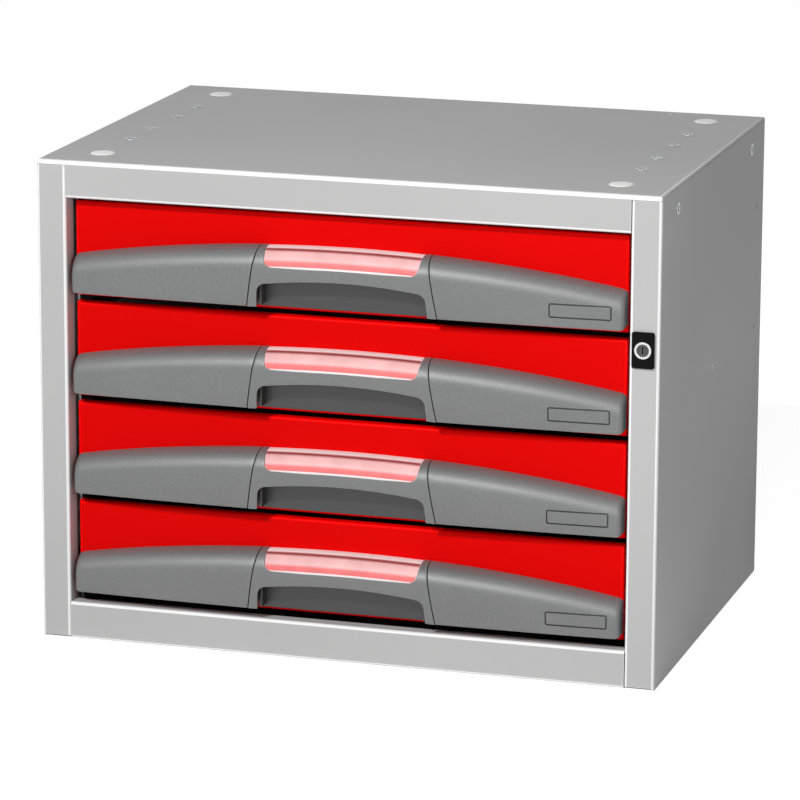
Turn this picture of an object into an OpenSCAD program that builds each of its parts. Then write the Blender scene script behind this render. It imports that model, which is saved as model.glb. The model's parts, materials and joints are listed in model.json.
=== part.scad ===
// Steel workshop cabinet with four drawers on ball slides, moulded bow handles and one central lock.
// Millimetres. Origin at the centre of the cabinet's base; +X right, +Y to the back, +Z up.
// The front frame lies in the plane y = -case_d / 2. "Depth" values count backwards from that plane.

/* [Case] */
// Width of the case over its side panels
case_w = 570; // [520:1:700]
// Depth of the case from the front frame to the back
case_d = 410; // [390:1:520]
// Thickness of the case's sheet steel
sheet_t = 1.2; // [0.9:0.1:1.5]
// Outer radius of the bends in the sheet metal
bend_r = 2.5; // [2.2:0.1:3]
// Width of each front post
post_w = 27; // [25:1:34]
// Depth of the flange behind each post
post_return = 20; // [16:1:21]
// Height of the top and bottom rails
rail_h = 34; // [28:1:50]
// Depth of the flange behind each rail
rail_return = 14; // [8:1:16]
// Height of the top panel's band over the posts
cap_band_h = 4.5; // [4:0.1:8]
// Open seam between neighbouring case panels
seam = 0.3; // [0.2:0.05:0.5]
// Width of the side panels' rear flanges
rear_flange_w = 20; // [16:1:30]
// Height of the welding lips inside the side panels
lip_h = 15; // [10:1:18]
// Depth of the flange that the back panel folds under the top
back_flange = 26; // [22:1:40]
// How far the front posts stop above the base
post_foot = 2; // [1.2:0.1:4]

/* [Uprights] */
// Width of an upright's raised web, which carries the slides
upright_web = 30; // [22:1:40]
// Width of an upright's two feet on the side panel
upright_foot = 12; // [10:1:14]
// Depth at which the front upright's web starts
upright_depth = 34; // [34:1:40]

/* [Drawers] */
// Height of a drawer front
front_h = 86; // [82:1:130]
// Gap between two drawer fronts
front_gap = 6; // [4:0.5:10]
// Gap above the uppermost drawer front
top_gap = 4; // [3:0.5:10]
// Gap below the lowest drawer front
bottom_gap = 6; // [4:0.5:10]
// Gap beside each drawer front
side_gap = 4.5; // [4.5:0.1:6]
// Depth of the drawer fronts behind the front frame
front_recess = 13; // [11:0.5:14]
// Depth of the folded rim behind a drawer front
front_rim = 9; // [6:0.5:9]
// Thickness of the drawers' sheet steel
drawer_t = 1.2; // [0.9:0.1:1.5]
// Height of a tray's walls
tray_wall_h = 70; // [67:1:76]
// Height of a tray's floor above the bottom of its front
tray_lift = 4; // [3:0.5:6]
// Width of the hem along the top of a tray's walls
tray_hem = 8; // [5:1:12]
// Width of the weld flanges at the front end of a tray
tray_flange = 12; // [8:1:14]
// Clear depth behind a closed tray
tray_rear_room = 22; // [12:1:40]

/* [Slides] */
// Thickness of a closed slide
slide_thick = 12.7; // [12.6:0.1:14]
// Height of a slide's centre line above the bottom of its front
slide_centre = 30; // [29:0.5:32]
// Depth at which the slides start
slide_depth = 30; // [29:0.5:32]
// Thickness of the slide members
slide_t = 1.2; // [1:0.1:1.4]
// Radius of the balls
ball_r = 2.7; // [2.4:0.1:2.8]
// Running clearance around each ball
ball_play = 0.3; // [0.25:0.05:0.4]
// Distance from a slide's centre line to each row of balls
ball_row = 14; // [12:0.5:14.5]
// Distance from a slide's back to its balls
ball_in = 6.8; // [6.7:0.1:7]
// How far a drawer pulls out
drawer_travel = 260; // [200:5:265]
// Thickness of the ball cage's strip
cage_t = 0.7; // [0.5:0.1:0.8]
// Balls in each row of a cage
cage_balls = 5; // [3:1:8]

/* [Handles] */
// Height of a handle at its middle
handle_h = 55; // [50:1:60]
// Height of a handle at its ends
handle_end_h = 33.6; // [28:0.2:40]
// Height of a handle's straight bottom edge above the bottom of the drawer front
handle_lift = 4.8; // [4:0.2:7]
// How far a handle stands in front of the front frame at its middle
handle_proud = 10; // [8:0.5:14]
// How far the handle's face falls back towards its ends
handle_bow = 13; // [8:0.5:15]
// Radius that rolls the handle's top over into its face
crown_r = 19; // [14:0.5:20]
// Radius of the handle's gently tucked-in face
face_r = 160; // [120:5:300]
// Radius of the upright edge at each end of a handle
handle_end_r = 5; // [4:0.5:9]
// Radius of the lower corner at each end of a handle
handle_foot_r = 5; // [3:0.5:8]
// Wall thickness of the handle mouldings
handle_wall = 2.5; // [2:0.1:3]
// Half width of the centre moulding at its bottom edge
centre_half_bottom = 86.5; // [84:0.5:90]
// Half width of the centre moulding at its top edge
centre_half_top = 77.5; // [76:0.5:82]
// Open groove between the centre moulding and a wing
wing_seam = 1.2; // [0.4:0.1:1.6]
// Half width of the label window at the top
window_half_top = 72.5; // [60:0.5:73]
// Half width of the label window at the bottom
window_half_bottom = 70; // [50:0.5:72]
// Height of the label window's lower edge above the bottom of the front
window_sill = 41.5; // [38:0.5:44]
// Corner radius of the label window
window_corner = 8; // [3:0.5:9]
// Wall thickness of the clear label cover
window_t = 1.8; // [1:0.1:2]
// How far the label cover lies below the handle's face
window_sink = 0.6; // [0.2:0.1:1]
// Gap around the label cover
window_play = 0.3; // [0.2:0.05:0.5]
// Half width of the finger opening at its bottom
grip_half_bottom = 77.5; // [70:0.5:79]
// Half width of the finger opening at its top corners
grip_half_top = 77; // [66:0.5:78]
// Height of the finger opening's top corners above the bottom of the front
grip_corner_z = 25.5; // [22:0.5:28]
// Rise of the finger opening's arched top edge
grip_rise = 6; // [2:0.2:7]
// Corner radius of the finger opening
grip_corner = 9; // [5:0.5:10]
// Height of the finger scoop's lower edge above the bottom of the front
scoop_foot = 2.5; // [1:0.5:4]
// Thickness of the scoop's back plate and ribs
scoop_t = 1.8; // [1.5:0.1:2.2]
// Half distance between the scoop's side ribs
scoop_rib_half = 75.5; // [70:0.5:76]
// How far the scoop's side ribs lie behind the front frame
scoop_rib_depth = -2; // [-4:0.5:4]
// Depth that the finger opening cuts behind the front frame
grip_deep = -2.5; // [-4:0.5:2]

/* [Label recess] */
// Distance from the handle's middle to the outlined field on the right wing
field_x = 187; // [170:1:190]
// Width of the outlined field
field_w = 55.5; // [30:0.5:60]
// Height of the outlined field
field_h = 13; // [10:0.5:18]
// Height of the field above the handle's bottom edge
field_lift = 8; // [5:0.5:9]
// Width of the groove that outlines the field
field_groove = 1.2; // [0.8:0.1:2]
// Depth of that groove
field_groove_deep = 0.6; // [0.3:0.1:1]

/* [Handle screws] */
// Radius of the screws that hold the mouldings
screw_r = 1.9; // [1.5:0.1:2.2]
// Radius of the screw heads
screw_head_r = 4; // [3.5:0.1:5]
// Thickness of the screw heads
screw_head_t = 2.2; // [1.8:0.1:3]
// Length of a screw's shank inside the moulding
screw_reach = 10; // [8:0.5:10]
// Distance of the centre moulding's screws from the middle
centre_screw_x = 40; // [20:1:60]
// Distance of a wing's inner screw from the centre moulding
wing_screw_gap = 32; // [27:1:55]
// Distance of a wing's outer screw from the handle's end
wing_screw_inset = 28; // [26:1:60]
// Height of the inner screws above the handle's bottom edge
wing_screw_h_inner = 22; // [10:1:30]
// Height of the outer screws above the handle's bottom edge
wing_screw_h_outer = 16; // [9:1:20]
// Radius of the bosses inside the mouldings
boss_r = 3.8; // [3.4:0.1:4.2]
// Clearance of the holes around screws and rivets
hole_play = 0.1; // [0.05:0.05:0.3]

/* [Lock] */
// Height of the lock's centre above the base
lock_z = 305; // [295:1:306]
// Distance of the lock's centre from the right side
lock_inset = 14.6; // [14:0.1:15.5]
// Width of the black lock plate
plate_w = 20; // [18:0.5:22]
// Height of the black lock plate
plate_h = 32; // [26:0.5:36]
// Corner radius of the black lock plate
plate_corner = 2; // [1:0.5:4]
// Thickness of the black lock plate
plate_t = 2.2; // [1.5:0.1:3]
// Radius of the lock housing
housing_r = 7.5; // [7:0.1:8]
// Depth that the lock housing reaches behind the front frame
housing_depth = 21.5; // [18:0.5:21.5]
// How far the lock housing stands in front of the frame
housing_proud = 2.8; // [2.5:0.1:4]
// Radius of the turning barrel
barrel_r = 5.5; // [5:0.1:6]
// How far the barrel's face lies below the housing's rim
barrel_sink = 0.4; // [0.2:0.1:1]
// How far the barrel reaches past the back of its housing
barrel_past = 0.6; // [0.4:0.1:0.8]
// Running clearance of the barrel in its housing
barrel_play = 0.08; // [0.05:0.01:0.1]
// Distance from the barrel's axis to the cam pin
cam_throw = 10; // [9:0.1:10.5]
// Turn of the lock from open to locked, in degrees
lock_turn = 90; // [80:1:90]
// Thickness of the cam plate
cam_t = 2; // [1.5:0.1:2.2]
// Radius of the cam pin
cam_pin_r = 2; // [1.5:0.1:2.2]
// Depth at which the locking bar lies
bar_depth = 25; // [25:0.1:25.5]
// Thickness of the locking bar
bar_t = 2; // [1.5:0.1:2.2]
// Width of the locking bar
bar_w = 13; // [12.5:0.5:14]
// Clearance of the locking bar in its guides and of the pin in its slot
bar_play = 0.5; // [0.4:0.05:0.6]
// Height of a locking finger
finger_h = 8; // [6:0.5:8]
// Height of the open fingers above the bottom of their fronts
finger_lift = 68; // [67:0.5:69]
// How far a finger reaches over the catch on a tray
finger_hold = 4; // [3:0.5:5]
// Gap between an open finger and the catch under it
finger_gap = 2; // [1:0.5:3]
// Width of the catch on a tray
catch_w = 8; // [7:0.5:8]
// Height of the catch on a tray
catch_h = 10; // [8:0.5:10]
// Thickness of the catch
catch_t = 2; // [1.5:0.1:3]
// Gap between the locking bar and the catch behind it
catch_play = 1; // [0.6:0.1:1.5]
// Length of the catch's foot along the tray's wall
catch_foot = 16; // [12:1:24]
// Gap that the projection welds leave between the catch's foot and the wall
catch_weld = 0.1; // [0.05:0.05:0.2]
// Distance of the locking bar's upper end below the top
bar_drop = 18; // [17:1:30]
// Metal left beside the pin's slot in the locking bar
slot_wall = 1.9; // [1.5:0.1:2]
// Height of a guide for the locking bar
guide_h = 10; // [8:0.5:12]
// Wall of a guide for the locking bar
guide_wall = 1.6; // [1.2:0.1:2]
// Distance of a guide below the upper edge of the front beside it
guide_drop = 6; // [5:0.5:8]
// Thickness of the hexagon nut behind the post
nut_t = 4; // [3:0.5:5]
// Radius of that nut over its corners
nut_r = 10.1; // [9.5:0.1:10.4]
// Width of the key slot
key_w = 1.6; // [1:0.1:2.5]
// Height of the key slot
key_h = 8; // [6:0.5:9]
// Depth of the key slot
key_deep = 12; // [8:1:16]

/* [Fixings] */
// Distance of the big top plugs from the middle, across
plug_x = 238; // [200:1:240]
// Distance of the rear top plugs from the back panel's flange; the front plugs mirror them
plug_gap = 17; // [14:1:40]
// Radius of the big plugs' heads
plug_r = 11; // [9:0.5:13]
// How far a plug's head laps over the edge of its hole
plug_lap = 2; // [1:0.1:3]
// Thickness of the big plugs' domed heads
plug_t = 1.6; // [1:0.1:2.5]
// Distance of the outer threaded inserts from the middle, front to back
insert_y_outer = 89; // [70:1:110]
// Distance of the inner threaded inserts from the middle, front to back
insert_y_inner = 33; // [20:1:50]
// Bore radius of a threaded insert
insert_bore_r = 3; // [2.5:0.1:3.5]
// Flange radius of a threaded insert
insert_flange_r = 5.5; // [5.2:0.1:6.5]
// Flange thickness of a threaded insert
insert_flange_t = 0.6; // [0.4:0.1:1]
// Wall of a threaded insert's body
insert_wall = 1.5; // [1:0.1:2]
// Length of a threaded insert behind the sheet
insert_length = 11; // [8:0.5:12]
// Distance of the side inserts from the middle, front to back
side_insert_y = 147; // [120:1:150]
// Distance of the side inserts below the top
side_insert_drop = 21; // [20:0.5:26]
// Radius of a rivet's shank
rivet_r = 1.6; // [1.4:0.1:2]
// Radius of a rivet's head
rivet_head_r = 3.2; // [2.8:0.1:4]
// Height of a rivet's low domed head
rivet_head_h = 0.9; // [0.6:0.1:1.4]
// Distance of the upper rivets below the top
rivet_drop_upper = 80; // [70:1:100]
// Distance of the lower rivets below the top
rivet_drop_lower = 195; // [180:1:220]
// Distance of the top's rear rivets from the middle, across
top_rivet_x = 198; // [120:1:210]
// Distance of the top's rear rivets from the back
top_rivet_y = 16; // [12:1:18]
// Radius of the plain hole in the middle of each side panel
side_hole_r = 3; // [2:0.5:4]

/* [Hidden] */
drawer_count = 4;
DRAWERS = [for (i = [1:drawer_count]) i];
CASE_NODES = [
    "top_panel", "bottom_panel", "left_side_panel", "right_side_panel", "back_panel",
    "left_front_upright", "right_front_upright", "left_rear_upright", "right_rear_upright",
    "hole_plugs", "threaded_inserts", "panel_rivets",
    "lock_plate", "lock_housing", "lock_nut", "lock_barrel", "lock_cam", "locking_bar", "bar_guides"
];
DRAWER_NODES = [
    "front", "tray", "handle_centre", "handle_left_wing", "handle_right_wing", "label_window",
    "handle_screws", "inner_slides", "ball_cages", "outer_slides"
];

// Steps in each sheet-metal bend, and facets of the exact round shapes
bend_steps = 5;
$fn = 48;
sweep_fn = 360;
// Overlap that lets one solid cut or join another cleanly
eps = 0.5;

drawer_pitch = front_h + front_gap;
case_h = 2 * rail_h + top_gap + bottom_gap + drawer_count * front_h + (drawer_count - 1) * front_gap;
front_y = -case_d / 2;
back_y = case_d / 2;
plug_y = back_y - back_flange - plug_gap;
inner_x = case_w / 2 - sheet_t;
open_half = case_w / 2 - post_w;
side_top = case_h - bend_r - seam;
front_half = open_half - side_gap;
front_face_y = front_y + front_recess;
upright_face_x = open_half - seam;
tray_half = upright_face_x - slide_thick;
tray_front_y = front_face_y + drawer_t;
tray_back_y = back_y - tray_rear_room;
tray_floor_t = drawer_t;
slide_y0 = front_y + slide_depth;
slide_y1 = back_y - slide_depth;
race_r = ball_r + ball_play;
race_out = race_r + slide_t;
slide_half_h = ball_row + race_out;
cage_end_room = 3;
cage_l = slide_y1 - slide_y0 - drawer_travel - 2 * cage_end_room;
cage_y0 = slide_y0 + cage_end_room + drawer_travel / 2;
handle_half = front_half;
handle_drop = handle_h - handle_end_h;
handle_top = handle_lift + handle_h;
crown_z = handle_top - crown_r;
lock_x = case_w / 2 - lock_inset;
lock_move = 2 * cam_throw * sin(lock_turn / 2);
bar_x0 = lock_x - cam_throw - cam_pin_r - bar_play - slot_wall;
bar_y0 = front_y + bar_depth;
bar_top = case_h - bar_drop;
bar_foot = drawer_z(drawer_count) + finger_lift;
finger_x0 = tray_half + catch_w - finger_hold;
catch_z = finger_lift - finger_gap - catch_h;
catch_y0 = bar_y0 + bar_t + catch_play;
barrel_back_y = front_y + housing_depth + barrel_past;
insert_body_r = insert_bore_r + insert_wall;
case_paint = "#b4b5b6";
drawer_paint = "#dc0a0a";
handle_grey = "#7d7f80";
zinc = "#b9bdc1";

// Height of the bottom of drawer i's front, counted from the top drawer down
function drawer_z(i) = rail_h + bottom_gap + (drawer_count - i) * drawer_pitch;

// ---- Outlines -------------------------------------------------------------------------------

function unit(v) = v / norm(v);
function left_of(v) = [-v.y, v.x];
function turned(v, a) = [v.x * cos(a) - v.y * sin(a), v.x * sin(a) + v.y * cos(a)];

// Points of an arc of radius r that rounds corner b between its neighbours a and c
function rounded_corner(a, b, c, r, steps) =
    r <= 0 ? [b] :
    let(
        to_a = unit(a - b),
        to_c = unit(c - b),
        half = acos(to_a * to_c) / 2,
        reach = r / tan(half),
        centre = b + unit(to_a + to_c) * r / sin(half),
        way = cross(b - a, c - b) > 0 ? 1 : -1
    )
    [for (k = [0:steps]) centre + turned(b + to_a * reach - centre, way * (180 - 2 * half) * k / steps)];

// Closed outline with every corner rounded by its own radius
function rounded_outline(pts, radii, steps = bend_steps) =
    let(n = len(pts))
    [for (i = [0:n - 1])
        each rounded_corner(pts[(i + n - 1) % n], pts[i], pts[(i + 1) % n], radii[i], steps)];

function turns_left(p, i) = cross(p[i] - p[i - 1], p[i + 1] - p[i]) > 0;

// Open path with its inner corners rounded; radii are those of the outside of each bend
function bent_path(p, radii, t, outside_when_left, steps = bend_steps) =
    [for (i = [0:len(p) - 1]) each
        i == 0 || i == len(p) - 1 ? [p[i]] :
        rounded_corner(p[i - 1], p[i], p[i + 1],
            radii[i - 1] - (turns_left(p, i) == outside_when_left ? 0 : t), steps)];

// Path moved to its left by t
function beside(p, t) =
    let(n = len(p))
    [for (i = [0:n - 1])
        let(
            before = left_of(unit(p[max(i, 1)] - p[max(i, 1) - 1])),
            after = left_of(unit(p[min(i, n - 2) + 1] - p[min(i, n - 2)]))
        )
        p[i] + t * (before + after) / (1 + before * after)];

// Outline of a bent sheet that lies to the left of its path
function bent_sheet(p, t, radii) =
    let(other = bent_path(beside(p, t), radii, t, false))
    concat(bent_path(p, radii, t, true), [for (i = [len(other) - 1:-1:0]) other[i]]);

function same(r, p) = [for (i = [1:len(p) - 2]) r];

// ---- Ways to place an outline ---------------------------------------------------------------

// Extrudes an outline drawn in (y, z) along X
module along_x(x0, x1) translate([x0, 0, 0]) rotate([90, 0, 90]) linear_extrude(x1 - x0) children();
// Extrudes an outline drawn in (x, z) along Y
module along_y(y0, y1) translate([0, y1, 0]) rotate([90, 0, 0]) linear_extrude(y1 - y0) children();
// Extrudes an outline drawn in (x, y) along Z
module along_z(z0, z1) translate([0, 0, z0]) linear_extrude(z1 - z0) children();
module block(lo, hi) translate(lo) cube(hi - lo);
module both_sides() { children(); mirror([1, 0, 0]) children(); }
module rod_y(x, z, r, y0, y1) translate([x, y1, z]) rotate([90, 0, 0]) cylinder(r = r, h = y1 - y0);
module rod_x(y, z, r, x0, x1) translate([x0, y, z]) rotate([0, 90, 0]) cylinder(r = r, h = x1 - x0);

// Folded sheet whose path is drawn in (y, z), (x, y) or (x, z)
module sheet_outline(p, t, r) polygon(bent_sheet(p, t, same(r, p)));

// ---- Case -----------------------------------------------------------------------------------

// Box with rounded upper and upright edges, shrunk on every side by inset
module cap_form(inset, z0) {
    w = case_w / 2 - inset;
    y0 = front_y + inset;
    y1 = back_y - inset;
    top = case_h - inset;
    r = bend_r - inset;
    intersection() {
        along_z(z0, top) polygon(rounded_outline([[-w, y0], [w, y0], [w, y1], [-w, y1]], [r, r, r, r]));
        along_x(-w, w) polygon(rounded_outline([[y0, z0], [y1, z0], [y1, top], [y0, top]], [0, 0, r, r]));
        along_y(y0, y1) polygon(rounded_outline([[-w, z0], [w, z0], [w, top], [-w, top]], [0, 0, r, r]));
    }
}

// Upright lips that tuck inside the side panels, for the top and bottom panels
module side_lips(z0, z1)
    both_sides()
        block([inner_x - sheet_t, front_y + post_return + 1, z0], [inner_x, back_y - rear_flange_w, z1]);

module hole_places() for (x = [-plug_x, plug_x], y = [-plug_y, plug_y]) translate([x, y, 0]) children();

module top_insert_places()
    for (x = [-plug_x, plug_x], y = [insert_y_inner, insert_y_outer], s = [-1, 1])
        translate([x, s * y, case_h]) children();

module side_insert_places()
    for (s = [-1, 1], y = [-side_insert_y, side_insert_y])
        translate([s * case_w / 2, y, case_h - side_insert_drop]) rotate([0, s * 90, 0]) children();

module top_panel() color(case_paint) {
    band_z = case_h - cap_band_h;
    difference() {
        union() {
            difference() {
                cap_form(0, band_z);
                cap_form(sheet_t, band_z - eps);
                block([-case_w, front_y + bend_r, band_z - eps], [case_w, case_d, case_h - bend_r]);
            }
            along_x(-open_half + seam, open_half - seam)
                sheet_outline([[front_y, case_h - bend_r], [front_y, case_h - rail_h],
                    [front_y + rail_return, case_h - rail_h]], sheet_t, bend_r);
            side_lips(case_h - lip_h - sheet_t, case_h - sheet_t);
        }
        hole_places() cylinder(r = plug_r - plug_lap, h = 3 * case_h, center = true);
        rivet_places() cylinder(r = rivet_r + hole_play, h = 6 * sheet_t, center = true);
        top_insert_places() cylinder(r = insert_body_r + hole_play, h = 4 * sheet_t, center = true);
        side_insert_places() cylinder(r = insert_flange_r + 1, h = 6 * sheet_t, center = true);
    }
}

module bottom_panel() color(case_paint) {
    rear = back_y - 2 * sheet_t;
    along_x(-open_half + seam, open_half - seam)
        sheet_outline([[front_y + rail_return, rail_h], [front_y, rail_h], [front_y, 0],
            [rear, 0], [rear, lip_h]], sheet_t, bend_r);
    both_sides() block([open_half - 1, front_y + bend_r + 1, 0], [inner_x, rear, sheet_t]);
    side_lips(0, lip_h);
}

// Right side panel in plan: rear flange, side, post and the flange behind the post
side_path = [[open_half, front_y + post_return], [open_half, front_y], [case_w / 2, front_y],
    [case_w / 2, back_y], [case_w / 2 - rear_flange_w, back_y]];

module side_panel() difference() {
    along_z(0, side_top) sheet_outline(side_path, sheet_t, bend_r);
    // Front post ends below the top panel's band and above the base
    block([0, front_y - eps, case_h - cap_band_h - seam], [case_w, front_y + bend_r, case_h]);
    block([0, front_y - eps, -eps], [case_w / 2 - bend_r, front_y + bend_r, post_foot]);
    // The flange behind it stands on the bottom panel
    block([0, front_y + bend_r, -eps], [case_w / 2 - bend_r, front_y + post_return + eps, sheet_t + seam]);
    rivet_places() cylinder(r = rivet_r + hole_play, h = 6 * sheet_t, center = true);
    side_insert_places() cylinder(r = insert_body_r + hole_play, h = 4 * sheet_t, center = true);
    rod_x(0, case_h - rivet_drop_lower, side_hole_r, inner_x - eps, case_w / 2 + eps);
}

module right_side_panel() color(case_paint) difference() {
    side_panel();
    rod_y(lock_x, lock_z, housing_r + hole_play, front_y - eps, front_y + bend_r);
}

module left_side_panel() color(case_paint) mirror([1, 0, 0]) side_panel();

// Flat back sheet with a flange folded forward under the top
module back_panel() color(case_paint) difference() {
    y = back_y - sheet_t;
    z = case_h - sheet_t;
    union() {
        block([-inner_x + bend_r, y - sheet_t, 0], [inner_x - bend_r, y, side_top - bend_r]);
        along_x(-open_half, open_half)
            sheet_outline([[y, 0], [y, z], [y - back_flange, z]], sheet_t, bend_r);
    }
    rivet_places() cylinder(r = rivet_r + hole_play, h = 6 * sheet_t, center = true);
}

// Hat-section upright: two feet on the side panel and a raised web that carries the slides
upright_path = let(
        y0 = front_y + upright_depth + sheet_t,
        y1 = y0 + upright_web,
        web_x = upright_face_x + sheet_t
    )
    [[inner_x, y0 - upright_foot], [inner_x, y0], [web_x, y0], [web_x, y1], [inner_x, y1],
        [inner_x, y1 + upright_foot]];

module upright() color(zinc) difference() {
    along_z(lip_h + 1, case_h - lip_h - 2) sheet_outline(upright_path, sheet_t, bend_r);
    rivet_places() cylinder(r = rivet_r + hole_play, h = 6 * sheet_t, center = true);
}

module right_front_upright() upright();
module left_front_upright() mirror([1, 0, 0]) upright();
module right_rear_upright() mirror([0, 1, 0]) upright();
module left_rear_upright() mirror([0, 1, 0]) mirror([1, 0, 0]) upright();

module hole_plugs() color("white") hole_places() translate([0, 0, case_h]) rotate_extrude() {
    // Low dome on a snap shank
    intersection() {
        dome_r = (plug_r * plug_r + plug_t * plug_t) / (2 * plug_t);
        translate([0, plug_t - dome_r]) circle(r = dome_r, $fn = sweep_fn);
        square([plug_r, plug_t]);
    }
    translate([0, -3 * sheet_t]) square([plug_r - plug_lap - hole_play, 3 * sheet_t + plug_t / 2]);
}

module insert_body() rotate_extrude() {
    translate([insert_bore_r, 0]) square([insert_flange_r - insert_bore_r, insert_flange_t]);
    translate([insert_bore_r, -insert_length])
        square([insert_body_r - insert_bore_r, insert_length + eps / 2]);
}

module threaded_inserts() color(zinc) {
    top_insert_places() insert_body();
    side_insert_places() insert_body();
}

// Rivets through the side panels and uprights, and through the back panel and what it lies against
module rivet_places() {
    foot_mid = upright_depth + sheet_t - upright_foot / 2;
    for (s = [-1, 1], e = [-1, 1], drop = [rivet_drop_upper, rivet_drop_lower])
        translate([s * case_w / 2, e * (front_y + foot_mid), case_h - drop])
            rotate([0, s * 90, 0]) children();
    for (s = [-1, 1], z = [case_h / 8:case_h / 4:case_h])
        translate([s * (case_w - rear_flange_w) / 2, back_y, z]) rotate([-90, 0, 0]) children();
    for (s = [-1, 1]) translate([s * top_rivet_x, back_y - top_rivet_y, case_h]) children();
}

module panel_rivets() color(case_paint) rivet_places() rotate_extrude() {
    intersection() {
        dome_r = (rivet_head_r * rivet_head_r + rivet_head_h * rivet_head_h) / (2 * rivet_head_h);
        translate([0, rivet_head_h - dome_r]) circle(r = dome_r, $fn = sweep_fn);
        square([rivet_head_r, rivet_head_h]);
    }
    translate([0, -2 * sheet_t - rivet_head_h]) square([rivet_r, 2 * sheet_t + 1.5 * rivet_head_h]);
}

// ---- Lock -----------------------------------------------------------------------------------

module lock_plate() color("#161616") difference() {
    x0 = lock_x - plate_w / 2;
    x1 = lock_x + plate_w / 2;
    z0 = lock_z - plate_h / 2;
    z1 = lock_z + plate_h / 2;
    r = plate_corner;
    along_y(front_y - plate_t, front_y)
        polygon(rounded_outline([[x0, z0], [x1, z0], [x1, z1], [x0, z1]], [r, r, r, r]));
    rod_y(lock_x, lock_z, housing_r + hole_play, front_y - 2 * plate_t, front_y + eps);
}

module lock_housing() color(zinc) difference() {
    rod_y(lock_x, lock_z, housing_r, front_y - housing_proud, front_y + housing_depth);
    rod_y(lock_x, lock_z, barrel_r + barrel_play,
        front_y - housing_proud - eps, front_y + housing_depth + eps);
}

module lock_nut() color(zinc) difference() {
    translate([lock_x, front_y + sheet_t + nut_t, lock_z])
        rotate([90, 0, 0]) cylinder(r = nut_r, h = nut_t, $fn = 6);
    rod_y(lock_x, lock_z, housing_r + hole_play, front_y, front_y + sheet_t + nut_t + eps);
}

module lock_barrel() color(zinc) difference() {
    barrel_front_y = front_y - housing_proud + barrel_sink;
    rod_y(lock_x, lock_z, barrel_r, barrel_front_y, barrel_back_y);
    block([lock_x - key_w / 2, barrel_front_y - eps, lock_z - key_h / 2],
        [lock_x + key_w / 2, barrel_front_y + key_deep, lock_z + key_h / 2]);
}

// Cam in its open position: the pin stands half the turn above the horizontal, towards the drawers
module lock_cam() color(zinc) translate([lock_x, 0, lock_z]) rotate([0, lock_turn / 2, 0]) {
    hub_r = 6;
    arm_r = cam_pin_r + 1.4;
    y1 = barrel_back_y + cam_t;
    rod_y(0, 0, hub_r, barrel_back_y, y1);
    rod_y(-cam_throw, 0, arm_r, barrel_back_y, y1);
    block([-cam_throw, barrel_back_y, -arm_r], [0, y1, arm_r]);
    rod_y(-cam_throw, 0, cam_pin_r, y1 - eps, bar_y0 + bar_t + eps);
}

module locking_bar() color(zinc) difference() {
    pin_x_far = lock_x - cam_throw;
    pin_x_near = lock_x - cam_throw * cos(lock_turn / 2);
    pin_z = lock_z + cam_throw * sin(lock_turn / 2);
    slot_half_h = cam_pin_r + bar_play;
    union() {
        block([bar_x0, bar_y0, bar_foot], [bar_x0 + bar_w, bar_y0 + bar_t, bar_top]);
        for (i = DRAWERS)
            block([finger_x0, bar_y0, drawer_z(i) + finger_lift],
                [bar_x0 + eps, bar_y0 + bar_t, drawer_z(i) + finger_lift + finger_h]);
    }
    block([pin_x_far - slot_half_h, bar_y0 - eps, pin_z - slot_half_h],
        [pin_x_near + slot_half_h, bar_y0 + bar_t + eps, pin_z + slot_half_h]);
}

// Guides seated on the right front upright, one above each of three fingers
module bar_guides() color("#2b2b2b") {
    play = bar_play / 2;
    for (i = [1, 3, 4]) {
        z = drawer_z(i) + front_h - guide_drop;
        difference() {
            block([bar_x0 - play - guide_wall, bar_y0 - play - guide_wall, z],
                [bar_x0 + bar_w + play + guide_wall, front_y + upright_depth, z + guide_h]);
            block([bar_x0 - play, bar_y0 - play, z - eps],
                [bar_x0 + bar_w + play, bar_y0 + bar_t + play, z + guide_h + eps]);
        }
    }
}

// ---- Drawers --------------------------------------------------------------------------------

// Shallow pan of sheet steel, open at the back, that makes the drawer's front
module front_pan(inset, z) {
    x = front_half - inset;
    y = front_face_y + inset;
    y1 = front_face_y + front_rim + (inset > 0 ? eps : 0);
    z0 = z + inset;
    z1 = z + front_h - inset;
    r = bend_r - inset;
    intersection() {
        along_x(-x, x) polygon(rounded_outline([[y, z0], [y1, z0], [y1, z1], [y, z1]], [r, 0, 0, r]));
        along_z(z0, z1) polygon(rounded_outline([[-x, y], [x, y], [x, y1], [-x, y1]], [r, r, 0, 0]));
    }
}

module drawer_front(i) color(drawer_paint) difference() {
    front_pan(0, drawer_z(i));
    front_pan(drawer_t, drawer_z(i));
    for (p = screw_places)
        rod_y(p.x, drawer_z(i) + p.y, screw_r + hole_play, front_face_y - eps, tray_front_y + eps);
}

module drawer_tray(i) color(case_paint) {
    z = drawer_z(i) + tray_lift;
    top = z + tray_wall_h;
    along_y(tray_front_y, tray_back_y)
        sheet_outline([[-tray_half + tray_hem, top], [-tray_half, top], [-tray_half, z],
            [tray_half, z], [tray_half, top], [tray_half - tray_hem, top]], drawer_t, bend_r);
    // Back wall with its hem, and the flanges welded to the front
    along_x(-tray_half + drawer_t / 2, tray_half - drawer_t / 2)
        sheet_outline([[tray_back_y, z + drawer_t / 2], [tray_back_y, top], [tray_back_y - tray_hem, top]],
            drawer_t, bend_r);
    both_sides() block([tray_half - tray_flange, tray_front_y, z + bend_r],
        [tray_half - drawer_t / 2, tray_front_y + drawer_t, top - bend_r]);
    block([-tray_half + bend_r, tray_front_y, z + drawer_t / 2],
        [tray_half - bend_r, tray_front_y + drawer_t, z + tray_flange]);
    // Catch for the locking bar, welded to the right wall
    foot = [tray_half + catch_weld, catch_y0, drawer_z(i) + catch_z];
    block(foot, foot + [catch_w - catch_weld, catch_t, catch_h]);
    block(foot, foot + [drawer_t, catch_foot, catch_h]);
}

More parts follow.
